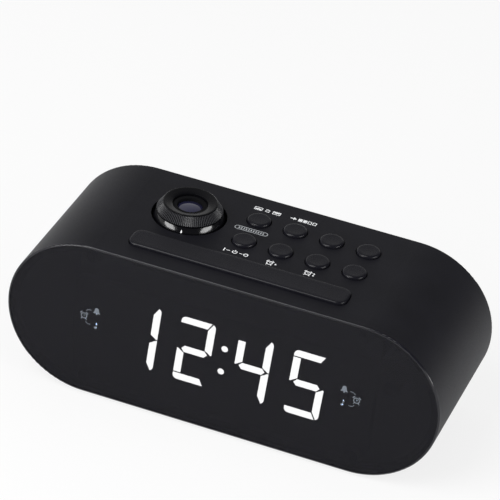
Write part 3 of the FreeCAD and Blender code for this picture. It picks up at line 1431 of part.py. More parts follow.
    # Lens barrel with two keys, and the lens on its seat
    inner = "(Sizes.barrel_radius - Sizes.barrel_wall)"
    seat_bore = f"({inner} - Sizes.lens_shoulder)"
    barrel = turned(
        "lens_barrel",
        [
            (seat_bore, "(-Sizes.barrel_bottom)"),
            ("Sizes.barrel_radius", "(-Sizes.barrel_bottom)"),
            ("Sizes.barrel_radius", "Sizes.barrel_top"),
            (inner, "Sizes.barrel_top"),
            (inner, "Sizes.lens_seat"),
            (seat_bore, "Sizes.lens_seat"),
        ],
        **at,
    )
    key_root = f"({inner} + Sizes.barrel_wall / 2)"
    key_end = "(Sizes.barrel_radius + Sizes.barrel_key_reach)"
    key_half = "Sizes.barrel_key_width / 2"
    for side in (1, -1):
        sketch = level(barrel, z="(-Sizes.barrel_bottom)")
        near, far = (key_root, key_end) if side > 0 else (f"-{key_end}", f"-{key_root}")
        rectangle(sketch, f"-{key_half}", key_half, near, far)
        pad(barrel, sketch, "Sizes.barrel_bottom + Sizes.guide_ceiling")
    keep(barrel, "lens_barrel")
    lens_radius = f"({inner} - Sizes.lens_gap)"
    edge_top = "(Sizes.lens_seat + Sizes.lens_edge)"
    lens = turned(
        "projection_lens",
        [
            ("0", "Sizes.lens_seat"),
            (lens_radius, "Sizes.lens_seat"),
            (lens_radius, edge_top, "arc"),
            ("0", f"{edge_top} + Sizes.lens_crown"),
        ],
        **at,
    )
    keep(lens, "projection_lens")

    # Focus wheel: a ribbed cone, dished on top, recessed below to turn on the neck
    grip = computed("wheel_grip", ribbed_cone())
    place(grip, at["x"], at["y"], f"{BALL_Z} + {top} + Sizes.wheel_lift")
    wheel_low = f"({top} + Sizes.wheel_lift)"
    wheel_top = f"({wheel_low} + Sizes.wheel_height)"
    rim_radius = "(Sizes.wheel_top_radius - Sizes.wheel_rim)"
    recess = "(Sizes.neck_radius + Sizes.wheel_gap)"
    ceiling = f"({neck_top} + Sizes.wheel_gap)"
    over = f"({wheel_top} + Sizes.wheel_rim)"
    under = f"({wheel_low} - Sizes.wheel_rim)"
    hole = turned(
        "wheel_hollow",
        [
            ("0", under),
            (recess, under),
            (recess, ceiling),
            ("Sizes.wheel_bore", ceiling),
            ("Sizes.wheel_bore", f"{wheel_top} - Sizes.wheel_dish"),
            (rim_radius, wheel_top),
            (rim_radius, over),
            ("0", over),
        ],
        **at,
    )
    keep(less("focus_wheel", grip, hole), "focus_wheel")


def ribbed_cone():
    """Cone frustum with straight grip ribs, from its foot at z = 0."""
    count = int(value("Sizes.knurl_count"))
    share = value("Sizes.knurl_depth / Sizes.wheel_base_radius")
    rings = []
    for radius, z in (
        (value("Sizes.wheel_base_radius"), 0.0),
        (value("Sizes.wheel_top_radius"), value("Sizes.wheel_height")),
    ):
        points = []
        for step in range(2 * count):
            reach = radius * (1 - share * (step % 2))
            turn = math.pi * step / count
            points.append(Vector(reach * math.cos(turn), reach * math.sin(turn), z))
        rings.append(points)
    low, high = rings
    faces = [Part.Face(Part.makePolygon(ring + ring[:1])) for ring in rings]
    for step in range(2 * count):
        after = (step + 1) % (2 * count)
        sides = [low[step], low[after], high[after], high[step], low[step]]
        faces.append(Part.Face(Part.makePolygon(sides)))
    return Part.makeSolid(Part.makeShell(faces))


def check_and_export():
    """Stop on any failed object, then write each sub-part to its own file."""
    doc.recompute()
    for thing in doc.Objects:
        if "Invalid" in thing.State or "Error" in thing.State:
            raise SystemExit(f"{thing.Label} failed: {thing.State}")
    labels = [piece.Label for piece in pieces]
    if len(set(labels)) != len(labels):
        raise SystemExit("two sub-parts share a name")
    for piece in pieces:
        if piece.Shape.isNull() or not piece.Shape.isValid() or not piece.Shape.Solids:
            raise SystemExit(f"{piece.Label} has no valid solid")
    os.makedirs("parts", exist_ok=True)
    for piece in pieces:
        piece.Shape.exportStep(f"parts/{piece.Label}.step")
    print(len(pieces), "sub-parts written")


build_case()
build_display()
build_rear()
build_power()
build_keys()
build_projector()
check_and_export()
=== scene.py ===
"""Looks of a projection alarm clock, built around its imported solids.

The scene is in metres in the solids' own frame: X to the viewer's right, Y to the
back and Z up, with the origin in the middle of the clock's footprint. The rows of
buttons, the focus wheel and the marks are written in millimetres, and multiplied by
MM where they are used.
"""

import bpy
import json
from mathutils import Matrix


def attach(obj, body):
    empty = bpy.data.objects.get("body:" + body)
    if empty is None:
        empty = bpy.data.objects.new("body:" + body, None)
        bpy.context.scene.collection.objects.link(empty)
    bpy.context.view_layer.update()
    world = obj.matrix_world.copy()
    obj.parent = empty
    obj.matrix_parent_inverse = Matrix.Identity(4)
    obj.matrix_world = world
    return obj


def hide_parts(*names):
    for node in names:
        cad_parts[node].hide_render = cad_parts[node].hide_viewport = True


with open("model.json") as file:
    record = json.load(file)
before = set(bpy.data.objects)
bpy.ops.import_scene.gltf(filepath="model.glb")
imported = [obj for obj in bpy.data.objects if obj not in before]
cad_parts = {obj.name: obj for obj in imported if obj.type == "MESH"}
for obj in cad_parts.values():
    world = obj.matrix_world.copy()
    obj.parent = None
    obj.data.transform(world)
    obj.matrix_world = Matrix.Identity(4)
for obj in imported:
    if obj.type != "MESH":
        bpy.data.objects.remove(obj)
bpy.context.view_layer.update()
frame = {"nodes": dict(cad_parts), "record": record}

import json
import logging
import math
from contextlib import contextmanager
from dataclasses import dataclass
from enum import Enum
from typing import Callable, Iterator, Sequence

import bpy
from mathutils import Matrix, Vector

log = logging.getLogger("clock")
MM = 0.001
# Name of the mesh attribute that marks the focus wheel's rib crests, where a highlight is painted
# into the colour.
HIGHLIGHT_ATTRIBUTE = "crest"
NEAR = 0.01 * MM
DOUBLE = 0.002 * MM

Colour = tuple[float, float, float]
Point = tuple[float, float]
Outline = tuple[Point, ...]
Test = Callable[[Vector, Vector], bool]
Thing = bpy.types.Object
Socket = bpy.types.NodeSocket
Feed = Socket | float | Sequence[float]


# Working with nodes


class Graph:
    """A node tree, with short calls for what the finishes and the studio need."""

    def __init__(self, tree: bpy.types.NodeTree) -> None:
        """Take hold of a tree."""
        self.tree = tree

    def feed(self, target: Socket, source: Feed) -> None:
        """Give an input its value.

        Args:
            target: The input.
            source: An output to link to it, or a constant.
        """
        if isinstance(source, bpy.types.NodeSocket):
            self.tree.links.new(source, target)
        else:
            target.default_value = source

    def wire(
        self, kind: str, output: str, inputs: dict[str | int, Feed], **settings: str
    ) -> Socket:
        """Add a node, feed its inputs and pick one of its outputs.

        Args:
            kind: The node's type, without ShaderNode in front.
            output: The name of the output that is wanted.
            inputs: What goes into the node, by the name or number of the input.
            **settings: Properties of the node.

        Returns:
            The output.
        """
        node = self.tree.nodes.new(f"ShaderNode{kind}")
        for name, value in settings.items():
            setattr(node, name, value)
        for name, value in inputs.items():
            self.feed(node.inputs[name], value)
        return node.outputs[output]

    def maths(self, operation: str, first: Feed, second: Feed) -> Socket:
        """Work out one sum of two numbers."""
        return self.wire("Math", "Value", {0: first, 1: second}, operation=operation)

    def span(
        self,
        value: Socket,
        low: float,
        high: float,
        start: float = 0.3,
        stop: float = 0.7,
        easing: str = "LINEAR",
    ) -> Socket:
        """Stretch a value from one range to another.

        Args:
            value: The value, usually a noise.
            low: Result at start.
            high: Result at stop.
            start: Lower end of the value's range.
            stop: Upper end of the value's range.
            easing: How the result runs from one end to the other.

        Returns:
            The stretched value.
        """
        limits = {"From Min": start, "From Max": stop, "To Min": low, "To Max": high}
        inputs = {"Value": value, **limits}
        return self.wire("MapRange", "Result", inputs, interpolation_type=easing)

    def blend(self, share: Feed, first: Feed, second: Feed) -> Socket:
        """Mix two numbers; the share is that of the second."""
        return self.wire("Mix", "Result", {"Factor": share, "A": first, "B": second})

    def mixed(self, share: Feed, first: Socket, second: Socket) -> Socket:
        """Mix two shaders; the share is that of the second."""
        return self.wire("MixShader", "Shader", {0: share, 1: first, 2: second})


class Bench(Graph):
    """A material's node tree, with one Principled shader."""

    def __init__(self, name: str) -> None:
        """Start a material.

        Args:
            name: The material's name.
        """
        self.material = bpy.data.materials.new(name)
        self.material.use_nodes = True
        super().__init__(self.material.node_tree)
        shader = self.tree.nodes["Principled BSDF"]
        self.sockets = shader.inputs
        self.gloss = shader.outputs["BSDF"]
        self.surface = self.tree.nodes["Material Output"].inputs["Surface"]
        self.object_coords = self.wire("TexCoord", "Object", {})

    def set(self, **values: Feed) -> None:
        """Feed the shader; two underscores in a name stand for a space."""
        for name, value in values.items():
            self.feed(self.sockets[name.replace("__", " ")], value)

    def noise(self, size: float, detail: float = 2.0, where: Socket | None = None) -> Socket:
        """Make noise with features of a real size.

        Args:
            size: Size of one feature, in metres.
            detail: Number of finer layers.
            where: Coordinates, or the object's own if left out.

        Returns:
            The noise's value, about 0 to 1.
        """
        inputs = {"Vector": where or self.object_coords, "Scale": 1 / size, "Detail": detail}
        return self.wire("TexNoise", "Fac", inputs)

    def rough(self, value: Socket, low: float, high: float) -> None:
        """Let the roughness follow a noise between two values."""
        self.set(Roughness=self.span(value, low, high))

    def tint(self, value: Socket, dark: Colour, light: Colour) -> None:
        """Colour the surface between two colours.

        Args:
            value: Where between them, from 0 to 1.
            dark: The colour at 0.
            light: The colour at 1.
        """
        colour = self.wire("ValToRGB", "Color", {"Fac": value})
        for element, end in zip(colour.node.color_ramp.elements, (dark, light)):
            element.color = (*end, 1)
        self.set(Base__Color=colour)

    def cloud(
        self, colour: Colour, size: float, dark: float, light: float, detail: float = 2.0
    ) -> None:
        """Colour the surface unevenly.

        Args:
            colour: The middle colour.
            size: Size of one patch, in metres.
            dark: Shade of the darkest patches, as a share of the colour.
            light: Shade of the lightest patches.
            detail: Number of finer layers.
        """
        patches = self.span(self.noise(size, detail), 0, 1)
        self.tint(patches, shade(colour, dark), shade(colour, light))

    def bump(self, height: Socket, depth: float) -> None:
        """Give the surface relief; the depth in metres is that of a height of 1."""
        self.set(Normal=self.wire("Bump", "Normal", {"Distance": depth, "Height": height}))


def shade(colour: Colour, factor: float) -> Colour:
    """A colour made darker or lighter."""
    return tuple(min(1.0, part * factor) for part in colour)


# Finishes


@dataclass(frozen=True)
class MouldedPlastic:
    """Moulded plastic with a spark-eroded grain, or smooth where the grain is shallow.

    Everything in front of polished_front, a place along Y, is smoother and shinier.
    """

    colour: Colour
    roughness: float = 0.5
    grain: float = 0.35 * MM
    relief: float = 0.012 * MM
    shine: float = 0.3
    polished_front: float | None = None
    polished_edge: float = 0.05 * MM
    polished_rough: float = 0.17
    polished_shine: float = 0.4

    def dress(self, bench: Bench) -> None:
        """Build the finish.

        Args:
            bench: The nodes of a new material.
        """
        grain = bench.noise(self.grain, 3.0)
        bench.cloud(self.colour, 14 * MM, dark=0.88, light=1.12)
        bench.rough(grain, self.roughness - 0.05, self.roughness + 0.06)
        bench.set(Specular__IOR__Level=self.shine)
        bench.bump(grain, self.relief)
        if self.polished_front is not None:
            self.polish(bench)

    def polish(self, bench: Bench) -> None:
        """Lower the roughness and raise the shine in front of the plane.

        Args:
            bench: The nodes of the material, with its grain.
        """
        depth = bench.wire("SeparateXYZ", "Y", {0: bench.object_coords})
        stop = self.polished_front + self.polished_edge
        share = bench.span(depth, 1.0, 0.0, self.polished_front, stop)
        grained = bench.sockets["Roughness"].links[0].from_socket
        bench.set(
            Roughness=bench.blend(share, grained, self.polished_rough),
            Specular__IOR__Level=bench.span(share, self.shine, self.polished_shine, 0, 1),
        )


@dataclass(frozen=True)
class GripWithPaintedRibHighlight:
    """Smooth plastic with a painted highlight: the ribs are tinted paler along their crests,
    where light would glint.
    """

    colour: Colour
    # Colour of the painted highlight on the crests.
    crest: Colour
    roughness: float
    shine: float

    def dress(self, bench: Bench) -> None:
        """Build the finish.

        Args:
            bench: The nodes of a new material.
        """
        # Painted highlight: the crests are tinted towards a paler colour in place of the glint of
        # light on them.
        highlight_mask = bench.wire("Attribute", "Fac", {}, attribute_name=HIGHLIGHT_ATTRIBUTE)
        bench.tint(bench.span(highlight_mask, 0, 1, 0.3, 1.0), self.colour, self.crest)
        bench.rough(bench.noise(0.3 * MM), self.roughness - 0.03, self.roughness + 0.03)
        bench.set(Specular__IOR__Level=self.shine)


@dataclass(frozen=True)
class SmokedWindow:
    """Smoked acrylic that only strong light shows through."""

    colour: Colour
    body: float = 0.8
    roughness: float = 0.1
    shine: float = 0.22

    def dress(self, bench: Bench) -> None:
        """Build the finish.

        Args:
            bench: The nodes of a new material.
        """
        bench.cloud(self.colour, 30 * MM, dark=0.985, light=1.015)
        bench.rough(bench.noise(8 * MM, 3.0), self.roughness - 0.005, self.roughness + 0.01)
        bench.set(Specular__IOR__Level=self.shine)
        clear = bench.wire("BsdfTransparent", "BSDF", {})
        bench.feed(bench.surface, bench.mixed(self.body, clear, bench.gloss))


@dataclass(frozen=True)
class LitDiffuser:
    """Print or milky plastic that may glow: the display's parts are lit from behind, while the
    glow of the white print on the deck and the ball is painted light.
    """

    colour: Colour
    glow: float = 0.0

    def dress(self, bench: Bench) -> None:
        """Build the finish.

        Args:
            bench: The nodes of a new material.
        """
        bench.cloud(self.colour, 3 * MM, dark=0.97, light=1.0, detail=1.0)
        bench.set(Roughness=0.5, Emission__Strength=self.glow, Emission__Color=(*self.colour, 1))


@dataclass(frozen=True)
class Metal:
    """Plated, drawn or turned metal."""

    colour: Colour
    roughness: float = 0.35
    streak: float = 0.2 * MM

    def dress(self, bench: Bench) -> None:
        """Build the finish.

        Args:
            bench: The nodes of a new material.
        """
        inputs = {"Vector": bench.object_coords, "Scale": (1, 1, 8)}
        streaks = bench.noise(self.streak, 2.0, bench.wire("Mapping", "Vector", inputs))
        bench.cloud(self.colour, 2 * MM, dark=0.85, light=1.1, detail=3.0)
        bench.rough(streaks, self.roughness - 0.08, self.roughness + 0.1)
        bench.set(Metallic=1.0)
        bench.bump(streaks, 0.004 * MM)


@dataclass(frozen=True)
class SolderMask:
    """Circuit board: lacquer over copper tracks."""

    colour: Colour
    pitch: float = 3 * MM

    def dress(self, bench: Bench) -> None:
        """Build the finish.

        Args:
            bench: The nodes of a new material.
        """
        edges = bench.wire(
            "TexVoronoi",
            "Distance",
            {"Vector": bench.object_coords, "Scale": 1 / self.pitch},
            feature="DISTANCE_TO_EDGE",
            distance="CHEBYCHEV",
        )
        raised = bench.span(edges, 1, 0, 0.06, 0.1)
        bench.tint(raised, self.colour, shade(self.colour, 1.7))
        bench.rough(bench.noise(0.5 * MM, 1.0), 0.25, 0.4)
        bench.bump(raised, 0.03 * MM)


@dataclass(frozen=True)
class PaperCone:
    """Pressed paper with fine fibres."""

    colour: Colour

    def dress(self, bench: Bench) -> None:
        """Build the finish.

        Args:
            bench: The nodes of a new material.
        """
        fibres = bench.noise(0.6 * MM, 4.0)
        bench.tint(bench.span(fibres, 0, 1), shade(self.colour, 0.7), shade(self.colour, 1.4))
        bench.rough(fibres, 0.8, 0.95)
        bench.bump(fibres, 0.08 * MM)


@dataclass(frozen=True)
class CoatedLens:
    """Polished lens with a faint blue coating."""

    colour: Colour

    def dress(self, bench: Bench) -> None:
        """Build the finish.

        Args:
            bench: The nodes of a new material.
        """
        bench.cloud(self.colour, 5 * MM, dark=0.9, light=1.0, detail=1.0)
        bench.rough(bench.noise(5 * MM, 1.0), 0.03, 0.06)
        bench.set(Coat__Weight=1.0, Coat__Roughness=0.03, Coat__IOR=1.7)


MADE: dict[str, bpy.types.Material] = {}


class Finish(Enum):
    """Finishes of the clock's pieces, by the record's material slot."""

    case_black = MouldedPlastic(
        (0.0084, 0.0083, 0.0118), 0.48, shine=0.2, polished_front=-32.9 * MM
    )
    cover_black = MouldedPlastic((0.0100, 0.0105, 0.0115), 0.6, 0.5 * MM, shine=0.2)
    key_black = MouldedPlastic((0.0078, 0.0077, 0.0112), 0.27, 0.25 * MM, 0.0012 * MM, 0.28)
    ball_black = MouldedPlastic((0.0035, 0.0035, 0.0045), 0.13, 0.8 * MM, 0.0005 * MM, 0.5)
    # Focus wheel: the second colour is a painted highlight on the rib crests.
    wheel_black = GripWithPaintedRibHighlight((0.003, 0.003, 0.004), (0.060, 0.061, 0.066), 0.26, 0.22)
    inner_black = MouldedPlastic((0.006, 0.006, 0.007), 0.7, shine=0.1)
    chip_black = MouldedPlastic((0.02, 0.02, 0.022), 0.6)
    jack_black = MouldedPlastic((0.012, 0.012, 0.013), 0.35)
    rubber_black = MouldedPlastic((0.018, 0.018, 0.018), 0.85, 0.6 * MM, 0.03 * MM, 0.2)
    magnet = MouldedPlastic((0.05, 0.05, 0.05), 0.7, 0.8 * MM, 0.02 * MM)
    unlit_digits = MouldedPlastic((0.008, 0.008, 0.010), 0.6, shine=0.1)
    indicators = MouldedPlastic((0.010, 0.011, 0.014), 0.6, shine=0.1)
    lit_digits = LitDiffuser((1.0, 1.0, 1.0), 24.0)
    lamp_red = LitDiffuser((0.55, 0.03, 0.02), 0.15)
    smoked_window = SmokedWindow((0.0030, 0.0029, 0.0056))
    steel = Metal((0.55, 0.55, 0.56))
    dark_steel = Metal((0.06, 0.06, 0.065), 0.4)
    capacitor_can = Metal((0.50, 0.50, 0.52), 0.3)
    circuit_board = SolderMask((0.010, 0.060, 0.028))
    speaker_paper = PaperCone((0.03, 0.03, 0.03))
    display_glass = CoatedLens((0.02, 0.02, 0.05))
    lens_glass = CoatedLens((0.020, 0.020, 0.055))
    # White print for the deck and the ball pointer: its glow is painted light that makes the
    # print read brighter, not a lamp.
    print_white = LitDiffuser((0.92, 0.93, 0.94), 0.12)
    print_grey = LitDiffuser((0.44, 0.46, 0.48))
    print_dim = LitDiffuser((0.78, 0.88, 1.00), 6.0)
    screw_zinc = Metal((0.09, 0.09, 0.095), 0.38, 0.15 * MM)

    def paint(self, thing: Thing) -> None:
        """Give this finish to every face of a piece.

        Args:
            thing: The piece.
        """
        if self.name not in MADE:
            bench = Bench(f"finish_{self.name}")
            self.value.dress(bench)
            MADE[self.name] = bench.material
        thing.data.materials.clear()
        thing.data.materials.append(MADE[self.name])


# Modelling by hand


def deselect() -> None:
    """Clear the selection."""
    bpy.ops.object.select_all(action="DESELECT")


def pick(things: Sequence[Thing]) -> None:
    """Select some objects and nothing else.

    Args:
        things: The objects, the active one first.
    """
    deselect()
    for thing in things:
        thing.select_set(True)
    bpy.context.view_layer.objects.active = things[0]


def named(name: str) -> Thing:
    """Name the active object and settle its place into its mesh.

    Args:
        name: The object's name, and its mesh's.

    Returns:
        The object.
    """
    thing = bpy.context.view_layer.objects.active
    thing.name = thing.data.name = name
    pick([thing])
    bpy.ops.object.transform_apply(location=True, rotation=True, scale=True)
    return thing


def merged(things: Sequence[Thing], name: str) -> Thing:
    """Join several objects into one piece.

    Args:
        things: The objects.
        name: The piece's name.

    Returns:
        The piece.
    """
    pick(things)
    if len(things) > 1:
        bpy.ops.object.join()
    return named(name)


def modified(thing: Thing, kind: str, **settings: object) -> Thing:
    """Add a modifier and apply it.

    Args:
        thing: The piece.
        kind: Blender's name for the modifier.
        **settings: Properties of the modifier.

    Returns:
        The same piece.
    """
    pick([thing])
    modifier = thing.modifiers.new(kind, kind)
    for name, value in settings.items():
        setattr(modifier, name, value)
    bpy.ops.object.modifier_apply(modifier=modifier.name)
    return thing


class Pick(Enum):
    """What edit mode selects: vertices, edges or faces."""

    VERTEX = (True, False, False)
    EDGE = (False, True, False)
    FACE = (False, False, True)


@contextmanager
def editing(thing: Thing, what: Pick, wanted: Test) -> Iterator[None]:
    """Be in edit mode with some parts of a mesh selected, and leave it at the end.

    Args:
        thing: The piece.
        what: The kind of part.
        wanted: Says from a part's middle and its direction whether to select it.
            The direction is a normal, or for an edge the way that it runs.
    """
    pick([thing])
    bpy.context.tool_settings.mesh_select_mode = what.value
    mesh = thing.data
    for group in (mesh.vertices, mesh.edges, mesh.polygons):
        group.foreach_set("select", [False] * len(group))
    if what is Pick.FACE:
        for face in mesh.polygons:
            face.select = wanted(face.center, face.normal)
    elif what is Pick.EDGE:
        for edge in mesh.edges:
            start, stop = (mesh.vertices[index].co for index in edge.vertices)
            edge.select = wanted((start + stop) / 2, stop - start)
    else:
        for vertex in mesh.vertices:
            vertex.select = wanted(vertex.co, vertex.normal)
    bpy.ops.object.mode_set(mode="EDIT")
    yield
    bpy.ops.object.mode_set(mode="OBJECT")


def pull(rise: Sequence[float]) -> None:
    """Extrude what is selected along a vector."""
    bpy.ops.mesh.extrude_region_move(TRANSFORM_OT_translate={"value": tuple(rise)})


def rounded(thing: Thing, radius: float, segments: int, wanted: Test) -> None:
    """Round the edges that a test picks."""
    with editing(thing, Pick.EDGE, wanted):
        bpy.ops.mesh.bevel(offset=radius, segments=segments, affect="EDGES", clamp_overlap=True)


def settled(thing: Thing, crease: float = 30.0) -> Thing:
    """Merge doubles, turn the faces outwards and smooth all but the sharp edges.

    Args:
        thing: The piece.
        crease: Angle in degrees above which an edge stays sharp.

    Returns:
        The same piece.
    """
    with editing(thing, Pick.VERTEX, lambda spot, way: True):
        bpy.ops.mesh.remove_doubles(threshold=DOUBLE)
        bpy.ops.mesh.normals_make_consistent(inside=False)
    bpy.ops.object.shade_smooth_by_angle(angle=math.radians(crease))
    return thing


def copied(thing: Thing, name: str, shift: Sequence[float]) -> Thing:
    """Copy a piece with a mesh of its own, and move the copy.

    Args:
        thing: The piece.
        name: The copy's name.
        shift: How far the copy's mesh moves.

    Returns:
        The copy.
    """
    twin = thing.copy()
    twin.data = thing.data.copy()
    twin.name = twin.data.name = name
    bpy.context.scene.collection.objects.link(twin)
    twin.data.transform(Matrix.Translation(shift))
    return twin


def carried(thing: Thing, body: str, finish: Finish, nodes: Sequence[str] = ()) -> None:
    """Finish a piece and let it ride on a body.

    Args:
        thing: The finished piece.
        body: The body that carries it.
        finish: Its looks.
        nodes: The solids that it stands for, if any.
    """
    if nodes:
        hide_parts(*nodes)
    finish.paint(thing)
    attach(thing, body)


def direction(around: float, up: float) -> Vector:
    """The way to a place.

    Args:
        around: Degrees to the right of the front.
        up: Degrees above level.

    Returns:
        The way, one metre long.
    """
    turn, lift = math.radians(around), math.radians(up)
    level = math.cos(lift)
    return Vector((math.sin(turn) * level, -math.cos(turn) * level, math.sin(lift)))


def placed(spot: Vector, side: Vector, rise: Vector, out: Vector) -> Matrix:
    """The place of something with its own three axes."""
    return Matrix.Translation(spot) @ Matrix((side, rise, out)).transposed().to_4x4()


# Flat marks


def on_circle(x: float, y: float, radius: float, turns: Sequence[float]) -> Outline:
    """Points round a middle, at angles in degrees, anticlockwise from +X."""
    ways = [math.radians(turn) for turn in turns]
    return tuple((x + radius * math.cos(way), y + radius * math.sin(way)) for way in ways)


def disc(radius: float, x: float = 0.0, y: float = 0.0, sides: int = 32) -> Outline:
    """A filled circle."""
    return on_circle(x, y, radius, [360 * step / sides for step in range(sides)])


def band(
    radius: float, width: float, start: float, stop: float, x: float = 0.0, y: float = 0.0
) -> Outline:
    """Part of a ring.

    Args:
        radius: Radius of the middle of the line.
        width: Width of the line.
        start: Angle of its start, in degrees anticlockwise from +X.
        stop: Angle of its end.
        x: The ring's middle, sideways.
        y: The ring's middle, up.

    Returns:
        The outline.
    """
    steps = max(4, round(abs(stop - start) / 10))
    turns = [start + (stop - start) * step / steps for step in range(steps + 1)]
    half = width / 2
    return on_circle(x, y, radius + half, turns) + on_circle(x, y, radius - half, turns[::-1])


def bar(start: Point, stop: Point, width: float) -> Outline:
    """A straight stroke.

    Args:
        start: Middle of one end.
        stop: Middle of the other end.
        width: Width of the stroke.

    Returns:
        The outline.
    """
    (left, low), (right, high) = start, stop
    share = width / 2 / math.dist(start, stop)
    dx, dy = (low - high) * share, (right - left) * share
    return (
        (left + dx, low + dy),
        (left - dx, low - dy),
        (right - dx, high - dy),
        (right + dx, high + dy),
    )


def box(x: float, wide: float, high: float, line: float = 0.13) -> tuple[Outline, ...]:
    """An outlined box.

    Args:
        x: Its middle on the X axis.
        wide: Its width.
        high: Its height.
        line: Width of its line.

    Returns:
        The outlines of its four sides.
    """
    left, right, top = x - wide / 2, x + wide / 2, (high - line) / 2
    inset = line / 2
    return (
        bar((left, top), (right, top), line),
        bar((left, -top), (right, -top), line),
        bar((left + inset, -top), (left + inset, top), line),
        bar((right - inset, -top), (right - inset, top), line),
    )


def screen(x: float, rise: float) -> tuple[Outline, ...]:
    """A small screen with one line on it."""
    return (*box(x, 1.5, 1.0), bar((x - 0.5, rise), (x + 0.5, rise), 0.34))


def bent_arrow(start: float) -> tuple[Outline, ...]:
    """An arrow a third of a turn long.

    Args:
        start: Angle of its tail, in degrees.

    Returns:
        The outlines of its stem and its head.
    """
    corners = ((0.18, start + 118), (0.60, start + 118), (0.40, start + 158))
    head = tuple(on_circle(0, 0, radius, [turn])[0] for radius, turn in corners)
    return band(0.38, 0.15, start, start + 120), head


def cell(x: float, *filled: Outline) -> tuple[Outline, ...]:
    """One box of a row, empty or filled."""
    return (*box(x, 0.72, 0.9), *filled)


def filling(x: float) -> Outline:
    """What fills a box of the row."""
    return bar((x - 0.2, 0.0), (x + 0.2, 0.0), 0.46)


class Sign(Enum):
    """Small pictograms, none of them lettering, drawn about the origin at a size of 1."""

    TURN = (*bent_arrow(10), *bent_arrow(190), *screen(-1.75, -0.12), *screen(1.75, 0.12))
    STORE = (
        bar((-2.3, 0.0), (-1.6, 0.0), 0.2),
        ((-1.7, -0.42), (-1.7, 0.42), (-1.1, 0.0)),
        *cell(-0.4, filling(-0.4)),
        *cell(0.5, filling(0.5)),
        *cell(1.4),
        *cell(2.3),
    )
    POWER = (
        bar((-1.9, -0.45), (-1.9, 0.45), 0.2),
        bar((-1.5, 0.0), (-0.85, 0.0), 0.12),
        band(0.4, 0.15, 125, 415),
        bar((0, 0.05), (0, 0.6), 0.16),
        bar((0.85, 0.0), (1.4, 0.0), 0.12),
        band(0.36, 0.16, 0, 355, 2.0, 0.0),
    )
    PILL = (
        bar((-0.405, -0.085), (0.405, -0.085), 0.02),
        bar((-0.405, 0.085), (0.405, 0.085), 0.02),
        band(0.085, 0.02, -90, 90, 0.405, 0),
        band(0.085, 0.02, 90, 270, -0.405, 0),
        *(
            bar((step * 0.405 / 5.6, -0.04275), (step * 0.405 / 5.6, 0.04275), 0.034)
            for step in range(-5, 6)
        ),
    )
    CLOCK = (
        band(0.38, 0.12, 0, 359),
        bar((0, -0.03), (0, 0.22), 0.08),
        bar((-0.03, 0), (0.15, 0.0), 0.08),
        band(0.6, 0.13, 28, 66),
        band(0.6, 0.13, 114, 152),
        bar((-0.26, -0.36), (-0.4, -0.57), 0.11),
        bar((0.26, -0.36), (0.4, -0.57), 0.11),
    )
    CLOCK_DOT = (*CLOCK, disc(0.13, 0.85, 0.0, 16))
    CLOCK_DOTS = (*CLOCK, disc(0.13, 0.85, 0.22, 16), disc(0.13, 0.85, -0.22, 16))
    BELL = (
        (
            (0.0, 0.5),
            *((0.14, 0.46), (0.24, 0.34), (0.29, 0.1), (0.33, -0.1), (0.5, -0.32)),
            *((-0.5, -0.32), (-0.33, -0.1), (-0.29, 0.1), (-0.24, 0.34), (-0.14, 0.46)),
        ),
        disc(0.1, 0, -0.42, 16),
    )
    NOTE = (
        disc(0.2, -0.06, -0.36, 20),
        bar((0.08, -0.36), (0.08, 0.5), 0.12),
        ((0.03, 0.55), (0.3, 0.3), (0.26, 0.12), (0.03, 0.3)),
    )
    ARC = (band(0.7, 0.09, 50, 130, 0.0, -0.6),)
    POLES = (
        band(0.42, 0.1, -140, 140),
        disc(0.16, 0, 0, 24),
        bar((0.0, 0.0), (1.0, 0.0), 0.08),
        bar((-1.0, 0.0), (-0.42, 0.0), 0.08),
        band(0.34, 0.08, 0, 355, 1.34, 0.0),
        band(0.34, 0.08, 0, 355, -1.34, 0.0),
        bar((1.16, 0.0), (1.52, 0.0), 0.08),
        bar((1.34, -0.18), (1.34, 0.18), 0.08),
        bar((-1.52, 0.0), (-1.16, 0.0), 0.08),
    )
    AERIAL = (
        bar((0.0, -0.6), (0.0, 0.5), 0.1),
        bar((-0.42, 0.5), (0.42, 0.5), 0.1),
        bar((-0.42, 0.5), (0.0, -0.05), 0.1),
        bar((0.42, 0.5), (0.0, -0.05), 0.1),
    )
    ARROW = (((-0.5, -0.4), (0.5, -0.4), (0.0, 0.55)),)
    DROP = (((-0.28, -0.28), (-0.16, -0.5), (0.16, -0.5), (0.28, -0.28), (0, 0.65)),)
    OPEN = (band(0.4, 0.16, 0, 355),)
    SHUT = (disc(0.48, sides=24),)


class Side(Enum):
    """Sides of the clock that carry marks, by a mark's turns about X and then Z, in degrees."""

    TOP = (0, 0)
    FRONT = (90, 0)
    BACK = (90, 180)
    BELOW = (180, 0)

    def at(self, x: float, y: float, z: float, tilt: float = 0.0) -> Matrix:
        """A place on this side.

        Args:
            x: Place in millimetres, to the right.
            y: Place in millimetres, to the back.
            z: Place in millimetres, up.
            tilt: Turn of the mark in its own plane, in degrees.

        Returns:
            The place of a mark that is drawn flat with its face up.
        """
        over, about = self.value
        turn = Matrix.Rotation(math.radians(about), 4, "Z")
        turn @= Matrix.Rotation(math.radians(over), 4, "X")
        turn @= Matrix.Rotation(math.radians(tilt), 4, "Z")
        return Matrix.Translation((x * MM, y * MM, z * MM)) @ turn


